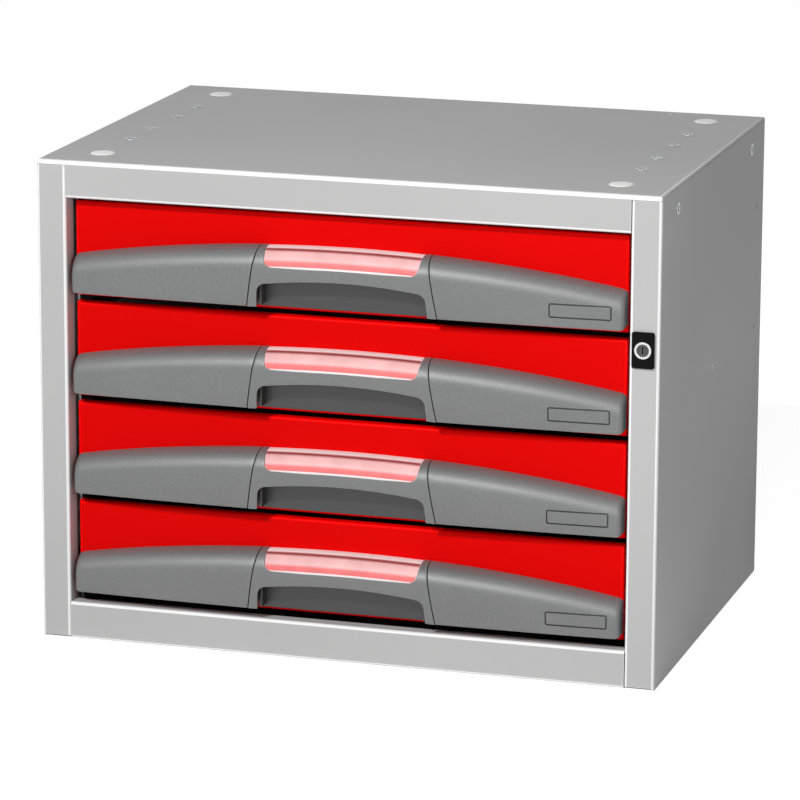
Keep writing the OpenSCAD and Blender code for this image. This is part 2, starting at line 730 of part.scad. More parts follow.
// ---- Handle ---------------------------------------------------------------------------------
// One bent section is swept along a single leaning arc, so that the handle's top falls and its
// face draws back together towards both ends. The straight bottom and flat back are then cut.

handle_sag = norm([handle_drop, handle_bow]);
handle_lean = atan2(handle_bow, handle_drop);
handle_arc_r = (handle_half * handle_half + handle_sag * handle_sag) / (2 * handle_sag);
handle_arc_half = asin(handle_half / handle_arc_r) + 0.6;
// How fast the face draws back at the handle's ends, in plan
handle_end_slope = tan(asin(handle_half / handle_arc_r)) * sin(handle_lean);

// Section in (height, forward) coordinates: rolled crown, tucked face, open back
module handle_section(inset) {
    back = -front_recess - 3;
    crown_p = handle_proud - crown_r;
    difference() {
        intersection() {
            translate([0, back]) square([handle_top - inset, handle_proud - back]);
            translate([crown_z, handle_proud - face_r]) circle(r = face_r - inset, $fn = sweep_fn);
        }
        difference() {
            translate([crown_z, crown_p]) square(2 * crown_r);
            translate([crown_z, crown_p]) circle(r = crown_r - inset);
        }
    }
}

// The whole swept bar of the drawer whose front starts at height z, shrunk by inset
module handle_bar(inset, z)
    translate([0, front_y, z + handle_top])
        rotate([90 + handle_lean, 0, 0])
            translate([0, -handle_arc_r, 0])
                rotate([0, 0, 90 - handle_arc_half])
                    rotate_extrude(angle = 2 * handle_arc_half, $fn = sweep_fn)
                        translate([handle_arc_r, 0]) rotate(-handle_lean) translate([-handle_top, 0])
                            handle_section(inset);

// The part of that bar inside an outline drawn in (x, z above the bottom of the front)
module handle_piece(inset, z, outline, back = 0)
    intersection() {
        handle_bar(inset, z);
        translate([0, 0, z]) along_y(front_y - handle_proud - 1, front_face_y + back) polygon(outline);
    }

// Upright seams between the mouldings, inset towards the centre; z_low and z_high bound the outline
function seam_half(h) = centre_half_bottom
    + (centre_half_top - centre_half_bottom) * (h - handle_lift) / handle_h;

function centre_outline(inset, low, high) = [
    [-seam_half(low) + inset, low], [seam_half(low) - inset, low],
    [seam_half(high) - inset, high], [-seam_half(high) + inset, high]];

function wing_outline(inset, low, high) = rounded_outline([
    [seam_half(low) + wing_seam + inset, low], [handle_half - inset, low],
    [handle_half - inset, high], [seam_half(high) + wing_seam + inset, high]],
    [0, handle_foot_r - inset, 0, 0]);

// Rounded outer end of a wing, in plan; its slanted side clears the face by a little
module wing_end(inset, z) {
    face = front_y - handle_proud + handle_bow + inset - seam;
    x = handle_half - inset;
    along_z(z, z + front_h)
        polygon(rounded_outline([[0, face - handle_end_slope * x], [x, face], [x, back_y], [0, back_y]],
            [0, handle_end_r - inset, 0, 0]));
}

window_outline = rounded_outline([[-window_half_bottom, window_sill], [window_half_bottom, window_sill],
    [window_half_top, handle_top + 2], [-window_half_top, handle_top + 2]],
    [window_corner, window_corner, 0, 0]);

cover_outline = rounded_outline([
    [-window_half_bottom + window_play, window_sill + window_play],
    [window_half_bottom - window_play, window_sill + window_play],
    [window_half_top - window_play, handle_top + 2],
    [-window_half_top + window_play, handle_top + 2]],
    [window_corner, window_corner, 0, 0]);

// Finger opening: open at the bottom, arched along the top
grip_outline = let(
        arch_steps = 8,
        arch = [for (k = [1:arch_steps - 1]) let(u = 1 - 2 * k / arch_steps)
            [u * grip_half_top, grip_corner_z + grip_rise * (1 - u * u)]],
        pts = concat([[-grip_half_bottom - 1, -front_gap], [grip_half_bottom + 1, -front_gap],
            [grip_half_top, grip_corner_z]], arch, [[-grip_half_top, grip_corner_z]])
    )
    rounded_outline(pts, [for (k = [0:len(pts) - 1]) k == 2 || k == len(pts) - 1 ? grip_corner : 0]);

// Screws on the left and right of the middle: places in (x, z above the bottom of the front)
centre_screws = let(h = (window_sill - scoop_t + grip_corner_z + grip_rise) / 2)
    [for (s = [-1, 1]) [s * centre_screw_x, h]];
wing_screws = [[centre_half_bottom + wing_screw_gap, handle_lift + wing_screw_h_inner],
    [handle_half - wing_screw_inset, handle_lift + wing_screw_h_outer]];
screw_places = concat(centre_screws, wing_screws, [for (p = wing_screws) [-p.x, p.y]]);

module bosses(places, z, outline) {
    intersection() {
        for (p = places) rod_y(p.x, z + p.y, boss_r, front_y - handle_proud, front_face_y);
        handle_piece(handle_wall / 2, z, outline);
    }
}

module pilot_holes(places, z)
    for (p = places)
        rod_y(p.x, z + p.y, screw_r + hole_play / 2, front_face_y - screw_reach - 1, front_face_y + eps);

module handle_centre(i) color(handle_grey) {
    z = drawer_z(i);
    high = handle_top + 1;
    whole = centre_outline(0, handle_lift, high);
    difference() {
        union() {
            difference() {
                handle_piece(0, z, whole);
                handle_piece(handle_wall, z, centre_outline(handle_wall, handle_lift - 1, high), eps);
            }
            bosses(centre_screws, z, whole);
            // Shelf under the window, scoop plate and the two side ribs of the finger space
            intersection() {
                handle_piece(handle_wall / 2, z, centre_outline(handle_wall / 2, handle_lift, high));
                union() {
                    block([-case_w, front_y - handle_proud, z + window_sill - scoop_t],
                        [case_w, front_face_y, z + window_sill]);
                    both_sides()
                        block([scoop_rib_half - scoop_t / 2, front_y + scoop_rib_depth, z + handle_lift + 1],
                            [scoop_rib_half + scoop_t / 2, front_face_y, z + window_sill]);
                }
            }
            block([-scoop_rib_half, front_face_y - scoop_t, z + scoop_foot],
                [scoop_rib_half, front_face_y, z + window_sill]);
        }
        translate([0, 0, z]) along_y(front_y - handle_proud - 1, front_face_y + eps) polygon(window_outline);
        translate([0, 0, z]) along_y(front_y - handle_proud - 1, front_y + grip_deep) polygon(grip_outline);
        pilot_holes(centre_screws, z);
    }
}

module wing(z) {
    high = handle_top + 1;
    difference() {
        union() {
            difference() {
                intersection() {
                    handle_piece(0, z, wing_outline(0, handle_lift, high));
                    wing_end(0, z);
                }
                intersection() {
                    handle_piece(handle_wall, z,
                        wing_outline(handle_wall, handle_lift + handle_wall, high), eps);
                    wing_end(handle_wall, z);
                }
            }
            bosses(wing_screws, z, wing_outline(0, handle_lift, high));
        }
        pilot_holes(wing_screws, z);
    }
}

module handle_left_wing(i) color(handle_grey) mirror([1, 0, 0]) wing(drawer_z(i));

module handle_right_wing(i) color(handle_grey) {
    z = drawer_z(i);
    z0 = z + handle_lift + field_lift;
    difference() {
        wing(z);
        // Groove that outlines the bare label field
        difference() {
            block([field_x, front_y - 2 * handle_proud, z0],
                [field_x + field_w, front_y + handle_bow, z0 + field_h]);
            block([field_x + field_groove, front_y - 3 * handle_proud, z0 + field_groove],
                [field_x + field_w - field_groove, front_face_y, z0 + field_h - field_groove]);
            handle_bar(field_groove_deep, z);
        }
    }
}

module label_window(i) color("#f4dede", 0.5) difference() {
    handle_piece(window_sink, drawer_z(i), cover_outline);
    handle_piece(window_sink + window_t, drawer_z(i), cover_outline, eps);
}

module handle_screws(i) color(zinc) for (p = screw_places) {
    rod_y(p.x, drawer_z(i) + p.y, screw_r, front_face_y - screw_reach, tray_front_y + eps);
    rod_y(p.x, drawer_z(i) + p.y, screw_head_r, tray_front_y, tray_front_y + screw_head_t);
}

// ---- Slides ---------------------------------------------------------------------------------
// Sections in (distance from the upright, height) coordinates

outer_path = [[ball_in + race_out, ball_row - 1], [ball_in + race_out, slide_half_h], [0, slide_half_h],
    [0, -slide_half_h], [ball_in + race_out, -slide_half_h], [ball_in + race_out, -ball_row + 1]];

inner_path = let(x = ball_in - race_r, h = ball_row - race_r, lip = ball_row - cage_t - 0.1)
    [[x, -lip], [x, -h], [slide_thick, -h], [slide_thick, h], [x, h], [x, lip]];

cage_path = let(x0 = slide_t + ball_play, x1 = ball_in + 1.2, h = ball_row + cage_t / 2)
    [[x1, h], [x0, h], [x0, -h], [x1, -h]];

// Places a slide section on the right upright and its mirror on the left
module slide_pair(i)
    both_sides()
        translate([upright_face_x, 0, drawer_z(i) + slide_centre]) mirror([1, 0, 0]) children();

module outer_slides(i) color(zinc) slide_pair(i) along_y(slide_y0, slide_y1)
    polygon(bent_sheet(outer_path, slide_t, [race_out, bend_r, bend_r, race_out]));

module inner_slides(i) color(zinc) slide_pair(i) along_y(slide_y0, slide_y1)
    polygon(bent_sheet(inner_path, slide_t, [ball_r, bend_r, bend_r, ball_r]));

module ball_cages(i) color("#d8d2c0") slide_pair(i) {
    ball_pitch = (cage_l - 4 * ball_r) / (cage_balls - 1);
    along_y(cage_y0, cage_y0 + cage_l) polygon(bent_sheet(cage_path, cage_t, [1.4, 1.4]));
    for (k = [0:cage_balls - 1], s = [-1, 1])
        translate([ball_in, cage_y0 + 2 * ball_r + k * ball_pitch, s * ball_row])
            sphere(r = ball_r, $fn = 24);
}

// ---- Parts ----------------------------------------------------------------------------------

top_panel();
bottom_panel();
left_side_panel();
right_side_panel();
back_panel();
left_front_upright();
right_front_upright();
left_rear_upright();
right_rear_upright();
hole_plugs();
threaded_inserts();
panel_rivets();
lock_plate();
lock_housing();
lock_nut();
lock_barrel();
lock_cam();
locking_bar();
bar_guides();
for (i = DRAWERS) {
    drawer_front(i);
    drawer_tray(i);
    handle_centre(i);
    handle_left_wing(i);
    handle_right_wing(i);
    label_window(i);
    handle_screws(i);
    inner_slides(i);
    ball_cages(i);
    outer_slides(i);
}
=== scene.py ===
"""Finishes for a four-drawer steel workshop cabinet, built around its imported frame.

Lengths are metres. +X is to the right, +Y to the back and +Z up; the origin is the centre of the base.
"""

from __future__ import annotations

import json
import logging
import math
from contextlib import contextmanager
from dataclasses import dataclass
from enum import Enum
from functools import partial
from typing import Callable, Iterator, Sequence, Union

import bmesh
import bpy
import numpy as np
from mathutils import Matrix, Vector


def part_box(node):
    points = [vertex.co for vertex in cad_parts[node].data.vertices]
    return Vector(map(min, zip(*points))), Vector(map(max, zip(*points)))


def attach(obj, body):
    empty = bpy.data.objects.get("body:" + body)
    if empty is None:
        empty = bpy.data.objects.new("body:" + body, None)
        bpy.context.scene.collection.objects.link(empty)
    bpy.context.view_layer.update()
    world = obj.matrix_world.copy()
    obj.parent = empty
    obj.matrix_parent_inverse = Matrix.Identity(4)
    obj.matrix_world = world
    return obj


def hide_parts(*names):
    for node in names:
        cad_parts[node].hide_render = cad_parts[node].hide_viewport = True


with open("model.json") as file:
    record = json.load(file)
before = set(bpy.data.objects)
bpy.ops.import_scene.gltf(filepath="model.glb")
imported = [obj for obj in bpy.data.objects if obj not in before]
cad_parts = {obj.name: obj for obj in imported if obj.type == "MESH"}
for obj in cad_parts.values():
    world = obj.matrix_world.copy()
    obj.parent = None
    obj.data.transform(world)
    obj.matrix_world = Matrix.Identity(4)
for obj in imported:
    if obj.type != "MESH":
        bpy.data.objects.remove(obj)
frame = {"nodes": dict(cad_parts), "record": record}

log = logging.getLogger("cabinet")

MM = 0.001
WELD = 0.002 * MM
DRAWERS = (1, 2, 3, 4)

# Noise levels between which a drift runs from its least to its most
MIDDLE = (0.3, 0.7)
# Agreement of the rounded and the flat normal, on a plain face and on an edge that is painted lighter
BENT = (0.999, 0.86)

Colour = tuple[float, float, float]
Grid = np.ndarray
Piece = bpy.types.Object
Mesh = bpy.types.Mesh
BMesh = bmesh.types.BMesh
Material = bpy.types.Material
NodeTree = bpy.types.NodeTree
Socket = bpy.types.NodeSocket
Value = Union[float, Socket]


# ---- Node trees ----


class Side(Enum):
    """Which way a node group's socket faces."""

    INPUT = "INPUT"
    OUTPUT = "OUTPUT"


class Graph:
    """Adds nodes to a shader or geometry tree and links their sockets by name."""

    def __init__(self, tree: NodeTree) -> None:
        """Keeps the tree that the nodes go into."""
        self.tree = tree

    def add(self, kind: str, inputs: dict | None = None, **settings: object) -> bpy.types.Node:
        """Adds one node.

        Args:
            kind: The node's type name.
            inputs: A value or a socket for each input, by name or index.
            **settings: Attributes of the node.

        Returns:
            The new node.
        """
        node = self.tree.nodes.new(kind)
        for name, value in settings.items():
            setattr(node, name, value)
        self.feed(node, inputs or {})
        return node

    def feed(self, node: bpy.types.Node, inputs: dict) -> None:
        """Gives a node's inputs, by name or index, a value or a socket each.

        Args:
            node: The node that is fed.
            inputs: A value or a socket for each input.
        """
        for key, value in inputs.items():
            if isinstance(value, Socket):
                self.tree.links.new(value, node.inputs[key])
            else:
                node.inputs[key].default_value = value

    def made(self, kind: str, inputs: dict | None = None, **settings: object) -> Socket:
        """Adds one node and returns its first output."""
        return self.add(kind, inputs, **settings).outputs[0]

    def math(self, operation: str, a: Value, b: Value = 0.0, clamp: bool = False) -> Socket:
        """Adds a Math node and returns its result."""
        return self.made("ShaderNodeMath", {0: a, 1: b}, operation=operation, use_clamp=clamp)

    def remap(self, value: Socket, low: Value, high: Value, to_low: Value, to_high: Value) -> Socket:
        """Adds a clamped Map Range node and returns its result."""
        inputs = {"Value": value, "From Min": low, "From Max": high, "To Min": to_low, "To Max": to_high}
        return self.add("ShaderNodeMapRange", inputs).outputs["Result"]

    def place(self) -> Socket:
        """Adds the point's place in its object."""
        return self.add("ShaderNodeTexCoord").outputs["Object"]

    def noise(self, scale: Value, detail: float, place: Socket | None = None) -> Socket:
        """Adds a noise over the object, or over a given place, and returns its level."""
        return self.made("ShaderNodeTexNoise", {"Vector": place or self.place(), "Scale": scale, "Detail": detail})

    def socket(self, side: Side, name: str, kind: str, default: object = None) -> None:
        """Adds an input or output to the tree's own interface.

        Args:
            side: Whether it goes in or out.
            name: Its name.
            kind: Its type, without NodeSocket before it.
            default: Its value where nothing is linked.
        """
        made = self.tree.interface.new_socket(name, in_out=side.value, socket_type=f"NodeSocket{kind}")
        if default is not None:
            made.default_value = default


def spaced(inputs: dict[str, object]) -> dict[str, object]:
    """Puts spaces for underscores into the names of inputs."""
    return {name.replace("_", " "): value for name, value in inputs.items()}


class ShaderGroup:
    """A shader node group with named inputs and outputs, built once and shared by the finishes."""

    def __init__(self, name: str, inputs: dict[str, tuple[str, object]], outputs: dict[str, str]) -> None:
        """Makes the empty group.

        Args:
            name: The group's name.
            inputs: The kind and default of each input.
            outputs: The kind of each output.
        """
        self.tree = bpy.data.node_groups.new(name, "ShaderNodeTree")
        self.graph = Graph(self.tree)
        for key, (kind, default) in inputs.items():
            self.graph.socket(Side.INPUT, key, kind, default)
        for key, kind in outputs.items():
            self.graph.socket(Side.OUTPUT, key, kind)
        self.given = self.graph.add("NodeGroupInput").outputs
        self.result = self.graph.add("NodeGroupOutput")

    def put_out(self, **sockets: Socket) -> NodeTree:
        """Links the group's outputs, with underscores for spaces, and returns its tree."""
        self.graph.feed(self.result, spaced(sockets))
        return self.tree


class Effects:
    """The shared effects of the finishes."""

    def __init__(self) -> None:
        """Builds every group once."""
        self.drift = self._drift()
        self.relief = self._relief()
        self.edge = self._edge()
        self.dust = self._dust()
        self.brushed = self._brushed()

    @staticmethod
    def _drift() -> NodeTree:
        """Colour that drifts a little lighter and darker over the surface.

        Returns:
            The group, which also puts out its noise as a mask.
        """
        group = ShaderGroup("tone drift", {"Color": ("Color", (0.5, 0.5, 0.5, 1.0)), "Scale": ("Float", 4.0),
                                           "Amount": ("Float", 0.05)}, {"Color": "Color", "Mask": "Float"})
        graph, given = group.graph, group.given
        noise = graph.noise(given["Scale"], 3.0)
        level = graph.remap(noise, *MIDDLE, -1.0, 1.0)
        gain = graph.math("ADD", 1.0, graph.math("MULTIPLY", level, given["Amount"]))
        mixed = graph.made("ShaderNodeVectorMath", {0: given["Color"], "Scale": gain}, operation="SCALE")
        return group.put_out(Color=mixed, Mask=noise)

    @staticmethod
    def _relief() -> NodeTree:
        """Height of a fine grain: soft orange peel when Cells is 0, leathery moulded cells when it is 1.

        Returns:
            The group.
        """
        group = ShaderGroup("fine relief", {"Scale": ("Float", 900.0), "Cells": ("Float", 0.0)},
                            {"Height": "Float"})
        graph, given = group.graph, group.given
        noise = graph.noise(given["Scale"], 2.0)
        cells = graph.add("ShaderNodeTexVoronoi", {"Vector": graph.place(), "Scale": given["Scale"]})
        both = graph.made("ShaderNodeMix", {0: given["Cells"], 2: noise, 3: cells.outputs["Distance"]})
        return group.put_out(Height=both)

    @staticmethod
    def _edge() -> NodeTree:
        """Mask of the outer edges, broken up by a noise, which the finishes paint lighter: partly as worn coats and
        polished metal, partly as a painted highlight.

        Returns:
            The group.
        """
        group = ShaderGroup("edge mask", {"Radius": ("Float", 0.0012), "Break Up": ("Float", 0.4)},
                            {"Mask": "Float"})
        graph, given = group.graph, group.given
        rounded = graph.made("ShaderNodeBevel", {"Radius": given["Radius"]}, samples=4)
        flat = graph.add("ShaderNodeNewGeometry").outputs["Normal"]
        along = graph.add("ShaderNodeVectorMath", {0: rounded, 1: flat}, operation="DOT_PRODUCT")
        bent = graph.remap(along.outputs["Value"], *BENT, 0.0, 1.0)
        holes = graph.math("SUBTRACT", 1.0, graph.math("MULTIPLY", graph.noise(160.0, 3.0), given["Break Up"]))
        return group.put_out(Mask=graph.math("MULTIPLY", bent, holes, clamp=True))

    @staticmethod
    def _dust() -> NodeTree:
        """Mask of a thin film of dust on what faces up.

        Returns:
            The group.
        """
        group = ShaderGroup("settled dust", {"Amount": ("Float", 0.1)}, {"Mask": "Float"})
        graph, given = group.graph, group.given
        normal = graph.add("ShaderNodeNewGeometry").outputs["Normal"]
        up = graph.add("ShaderNodeSeparateXYZ", {0: normal}).outputs["Z"]
        level = graph.remap(up, 0.5, 1.0, 0.0, 1.0)
        film = graph.math("MULTIPLY", level, graph.remap(graph.noise(35.0, 6.0), 0.35, 0.7, 0.3, 1.0))
        return group.put_out(Mask=graph.math("MULTIPLY", film, given["Amount"], clamp=True))

    @staticmethod
    def _brushed() -> NodeTree:
        """Height of long fine rolling marks along one axis; Stretch gives how short they are on each axis.

        Returns:
            The group.
        """
        group = ShaderGroup("rolling marks", {"Stretch": ("Vector", (1.0, 0.02, 1.0)), "Scale": ("Float", 900.0)},
                            {"Height": "Float"})
        graph, given = group.graph, group.given
        drawn = graph.made("ShaderNodeVectorMath", {0: graph.place(), 1: given["Stretch"]}, operation="MULTIPLY")
        return group.put_out(Height=graph.noise(given["Scale"], 4.0, drawn))


# ---- Finishes ----


class Painter:
    """Starts a material and finishes it from colours, masks and heights."""

    def __init__(self, name: str) -> None:
        """Makes an empty material with a Principled shader.

        Args:
            name: The material's name.
        """
        self.material = bpy.data.materials.new(name)
        self.material.use_nodes = True
        self.graph = Graph(self.material.node_tree)
        self.shader = self.material.node_tree.nodes["Principled BSDF"]

    def group(self, tree: NodeTree, **inputs: object) -> bpy.types.NodeOutputs:
        """Places a shared effect, with underscores for spaces in its inputs' names."""
        return self.graph.add("ShaderNodeGroup", spaced(inputs), node_tree=tree).outputs

    def mix(self, mask: Socket, low: object, high: object) -> Socket:
        """Mixes two colours by a mask."""
        return self.graph.add("ShaderNodeMix", {0: mask, 6: low, 7: high}, data_type="RGBA").outputs[2]

    def mark(self, name: str) -> Socket:
        """Reads a number that the pieces carry in their mesh; it is 0 where a piece has none."""
        return self.graph.add("ShaderNodeAttribute", attribute_name=name).outputs["Fac"]

    def bump(self, height: Socket, depth: float, strength: float = 1.0) -> Socket:
        """Turns a height into a normal."""
        return self.graph.made("ShaderNodeBump", {"Height": height, "Distance": depth, "Strength": strength})

    def finish(self, **inputs: object) -> Material:
        """Feeds the shader's inputs, with underscores for spaces, and returns the material."""
        self.graph.feed(self.shader, spaced(inputs))
        return self.material


def rgba(colour: Colour, gain: float = 1.0) -> tuple[float, float, float, float]:
    """Returns a colour with full alpha, made lighter or darker by a gain."""
    return (*(min(part * gain, 1.0) for part in colour), 1.0)


@dataclass(frozen=True)
class PowderCoat:
    """Baked powder paint on sheet steel: soft orange peel, edges, bends and the rolled top band painted lighter as a
    highlight, a little dust on top.
    """

    name: str
    colour: Colour
    roughness: float = 0.42
    peel_scale: float = 650.0
    peel_depth: float = 0.00006
    # Gain of the edges' and bends' colour: a painted highlight
    wear_and_highlight_gain: float = 1.5
    dust: float = 0.06
    dust_colour: Colour = (0.55, 0.54, 0.52)
    specular: float = 0.5

    def build(self, effects: Effects) -> Material:
        """Returns the material.

        Args:
            effects: The shared effects that the finish places.

        Returns:
            The paint.
        """
        paint = Painter(self.name)
        drift = paint.group(effects.drift, Color=rgba(self.colour), Scale=3.0, Amount=0.035)
        edge = paint.group(effects.edge, Radius=0.0012)["Mask"]
        # Edges, bends and the top band are painted lighter here as a highlight; thin holds this painted highlight,
        # not a thinner coat.
        thin = paint.mix(paint.graph.math("MAXIMUM", edge, paint.mark("bend")), drift["Color"],
                         rgba(self.colour, self.wear_and_highlight_gain))
        dust = paint.group(effects.dust, Amount=self.dust)["Mask"]
        relief = paint.group(effects.relief, Scale=self.peel_scale)["Height"]
        worn = paint.graph.remap(drift["Mask"], *MIDDLE, self.roughness - 0.04, self.roughness + 0.05)
        return paint.finish(Base_Color=paint.mix(dust, thin, rgba(self.dust_colour)), Roughness=worn,
                            Normal=paint.bump(relief, self.peel_depth), Specular_IOR_Level=self.specular)


@dataclass(frozen=True)
class MouldedPlastic:
    """Textured moulding: leathery grain and slight tone drift, with edges painted lighter as a highlight and
    recesses painted dark as shade.
    """

    name: str
    colour: Colour
    roughness: float = 0.5
    grain_scale: float = 1500.0
    grain_depth: float = 0.00010
    wear_and_highlight_gain: float = 1.3
    speckle: float = 0.08
    specular: float = 0.4
    painted_shade_gain: float = 0.06

    def build(self, effects: Effects) -> Material:
        """Returns the material.

        Args:
            effects: The shared effects that the finish places.

        Returns:
            The plastic.
        """
        paint = Painter(self.name)
        drift = paint.group(effects.drift, Color=rgba(self.colour), Scale=14.0, Amount=0.05)
        fleck = paint.group(effects.drift, Color=drift["Color"], Scale=420.0, Amount=self.speckle)
        edge = paint.group(effects.edge, Radius=0.0009)["Mask"]
        grain = paint.group(effects.relief, Scale=self.grain_scale, Cells=0.65)["Height"]
        rough = paint.graph.remap(grain, 0.0, 0.8, self.roughness - 0.06, self.roughness + 0.1)
        # Edges are painted lighter as a highlight, and faces marked recess are painted dark as shade.
        edge_lit = paint.mix(edge, fleck["Color"], rgba(self.colour, self.wear_and_highlight_gain))
        plain = paint.mix(paint.mark("recess"), edge_lit, rgba(self.colour, self.painted_shade_gain))
        return paint.finish(Base_Color=plain, Roughness=rough, Normal=paint.bump(grain, self.grain_depth),
                            Specular_IOR_Level=self.specular)


@dataclass(frozen=True)
class PlatedSteel:
    """Zinc or nickel plate: rolling marks, cloudy tone, brighter edges partly as worn polish and partly as a painted
    highlight, and recesses painted dark as shade.
    """

    name: str
    colour: Colour
    roughness: float = 0.38
    stretch: tuple[float, float, float] = (1.0, 0.03, 1.0)
    mark_depth: float = 0.00002
    wear_and_highlight_gain: float = 1.25
    painted_shade_gain: float = 0.12

    def build(self, effects: Effects) -> Material:
        """Returns the material.

        Args:
            effects: The shared effects that the finish places.

        Returns:
            The plated steel.
        """
        paint = Painter(self.name)
        drift = paint.group(effects.drift, Color=rgba(self.colour), Scale=22.0, Amount=0.12)
        edge = paint.group(effects.edge, Radius=0.0005)["Mask"]
        marks = paint.group(effects.brushed, Stretch=self.stretch, Scale=1200.0)["Height"]
        rough = paint.graph.remap(marks, *MIDDLE, self.roughness - 0.07, self.roughness + 0.1)
        # Faces marked recess, the lock's barrel, are painted dark as shade.
        plain = paint.mix(paint.mark("recess"), drift["Color"], rgba(self.colour, self.painted_shade_gain))
        return paint.finish(Base_Color=paint.mix(edge, plain, rgba(self.colour, self.wear_and_highlight_gain)), Roughness=rough,
                            Normal=paint.bump(marks, self.mark_depth), Metallic=1.0)


@dataclass(frozen=True)
class ClearCover:
    """Clear cover over red card: pink-white at the top as a painted reflection, redder below, with painted
    highlights along its ends and a painted shadow line under its top lip.
    """

    name: str
    # Red below and pink-white above; the pink-white is a painted reflection
    low: Colour
    high: Colour
    # Colour of the painted highlights along the ends and edges, and of the painted shadow line under the top lip
    rim: Colour = (1.0, 0.93, 0.93)
    seam: Colour = (0.25, 0.004, 0.004)
    # Where the painted highlight along the bottom end stops
    foot: float = 0.11
    low_end: float = 0.34
    high_end: float = 0.46
    # Height and half width of the painted shadow line under the top lip
    shadow_line_at: float = 0.86
    shadow_line_half: float = 0.09
    # Where the painted highlight along the top end starts
    top_highlight_start: float = 0.9
    fade: float = 0.02
    alpha: float = 0.86
    roughness: float = 0.45
    specular: float = 0.25

    def build(self, effects: Effects) -> Material:
        """Returns the material.

        Args:
            effects: The shared effects that the finish places.

        Returns:
            The clear plastic.
        """
        paint = Painter(self.name)
        graph, rise = paint.graph, paint.mark("rise")
        edge = paint.group(effects.edge, Radius=0.0014, Break_Up=0.5)["Mask"]
        waves = paint.group(effects.relief, Scale=110.0)
        # Pink-white towards the top: a painted reflection over the red
        painted_reflection = paint.mix(graph.remap(rise, self.low_end, self.high_end, 0.0, 1.0), rgba(self.low), rgba(self.high))
        away = graph.math("ABSOLUTE", graph.math("SUBTRACT", rise, self.shadow_line_at))
        # A dark red painted shadow line under the cover's top lip
        shadow_lined = paint.mix(graph.remap(away, 0.0, self.shadow_line_half, 1.0, 0.0), painted_reflection, rgba(self.seam))
        drift = paint.group(effects.drift, Color=shadow_lined, Scale=60.0, Amount=0.08)
        # Painted highlights along the top and bottom ends and along the edges
        ends = graph.math("MAXIMUM", graph.remap(rise, self.top_highlight_start, self.top_highlight_start + self.fade, 0.0, 1.0),
                          graph.remap(rise, self.foot, self.foot + self.fade, 1.0, 0.0))
        colour = paint.mix(graph.math("MAXIMUM", edge, ends), drift["Color"], rgba(self.rim))
        return paint.finish(Base_Color=colour, Normal=paint.bump(waves["Height"], 0.0003, 0.5), Alpha=self.alpha,
                            Roughness=self.roughness, Specular_IOR_Level=self.specular)


class FinishShop:
    """Builds every finish once and hands it out by the record's slot name."""

    FINISHES = (
        # case_paint's edges, bends and top band are painted near white as a highlight; drawer_red's edges are a
        # lighter red painted highlight
        PowderCoat("case_paint", (0.48, 0.48, 0.48), wear_and_highlight_gain=1.85, specular=0.2),
        PowderCoat("tray_paint", (0.36, 0.365, 0.37), dust=0.05),
        PowderCoat("drawer_red", (0.70, 0.0004, 0.0004), roughness=0.45, wear_and_highlight_gain=1.25, dust=0.0, specular=0.05),
        # handle_plastic's edges are painted lighter as a highlight, and its scoop and label groove are painted dark
        # as shade
        MouldedPlastic("handle_plastic", (0.138, 0.141, 0.141), roughness=0.4, grain_depth=0.00008, wear_and_highlight_gain=1.6,
                       specular=0.75),
        MouldedPlastic("black_plastic", (0.004, 0.004, 0.004), roughness=0.4, grain_depth=0.00003, specular=0.05),
        MouldedPlastic("white_plastic", (0.93, 0.93, 0.92), roughness=0.2, grain_depth=0.00001, wear_and_highlight_gain=1.0,
                       speckle=0.01, specular=1.0),
        PlatedSteel("zinc_sheet", (0.58, 0.60, 0.62)),
        PlatedSteel("bright_zinc", (0.42, 0.43, 0.44), roughness=0.4),
        PlatedSteel("slide_steel", (0.66, 0.64, 0.58), roughness=0.3),
        PlatedSteel("lock_metal", (0.5, 0.5, 0.5), roughness=0.25, stretch=(1.0, 1.0, 1.0)),
        # The cover's pink-white is a painted reflection over its red
        ClearCover("clear_cover", low=(0.95, 0.22, 0.22), high=(0.97, 0.55, 0.55)),
    )

    def __init__(self) -> None:
        """Builds the shared effects and the finishes."""
        effects = Effects()
        self.materials = {finish.name: finish.build(effects) for finish in self.FINISHES}

    def __getitem__(self, slot: str) -> Material:
        """Returns the finish of a slot."""
        return self.materials[slot]


# ---- Pieces ----


def new_object(name: str, mesh: Mesh) -> Piece:
    """Puts a mesh into the scene as an object at the origin.

    Args:
        name: The object's name.
        mesh: Its mesh, with its place in it.

    Returns:
        The object.
    """
    made = bpy.data.objects.new(name, mesh)
    bpy.context.scene.collection.objects.link(made)
    return made


def modify(piece: Piece, kind: str, **settings: object) -> bpy.types.Modifier:
    """Adds a modifier with its settings.

    Args:
        piece: The piece.
        kind: The modifier's type.
        **settings: Attributes of the modifier.

    Returns:
        The modifier.
    """
    modifier = piece.modifiers.new(kind.title(), kind)
    for key, value in settings.items():
        setattr(modifier, key, value)
    return modifier


def bake_modifiers(piece: Piece) -> Piece:
    """Makes the evaluated result the piece's own plain mesh and removes its modifiers.

    Args:
        piece: A piece with modifiers.

    Returns:
        The same piece.
    """
    graph = bpy.context.evaluated_depsgraph_get()
    mesh = bpy.data.meshes.new_from_object(piece.evaluated_get(graph), depsgraph=graph)
    old = piece.data
    piece.modifiers.clear()
    piece.data = mesh
    mesh.name = piece.name
    bpy.data.meshes.remove(old)
    return piece


@contextmanager
def opened(mesh: Mesh) -> Iterator[BMesh]:
    """Opens a mesh for editing and writes it back at the end.

    Args:
        mesh: The mesh.

    Returns:
        The mesh while it can be edited.
    """
    work = bmesh.new()
    work.from_mesh(mesh)
    yield work
    work.to_mesh(mesh)
    work.free()


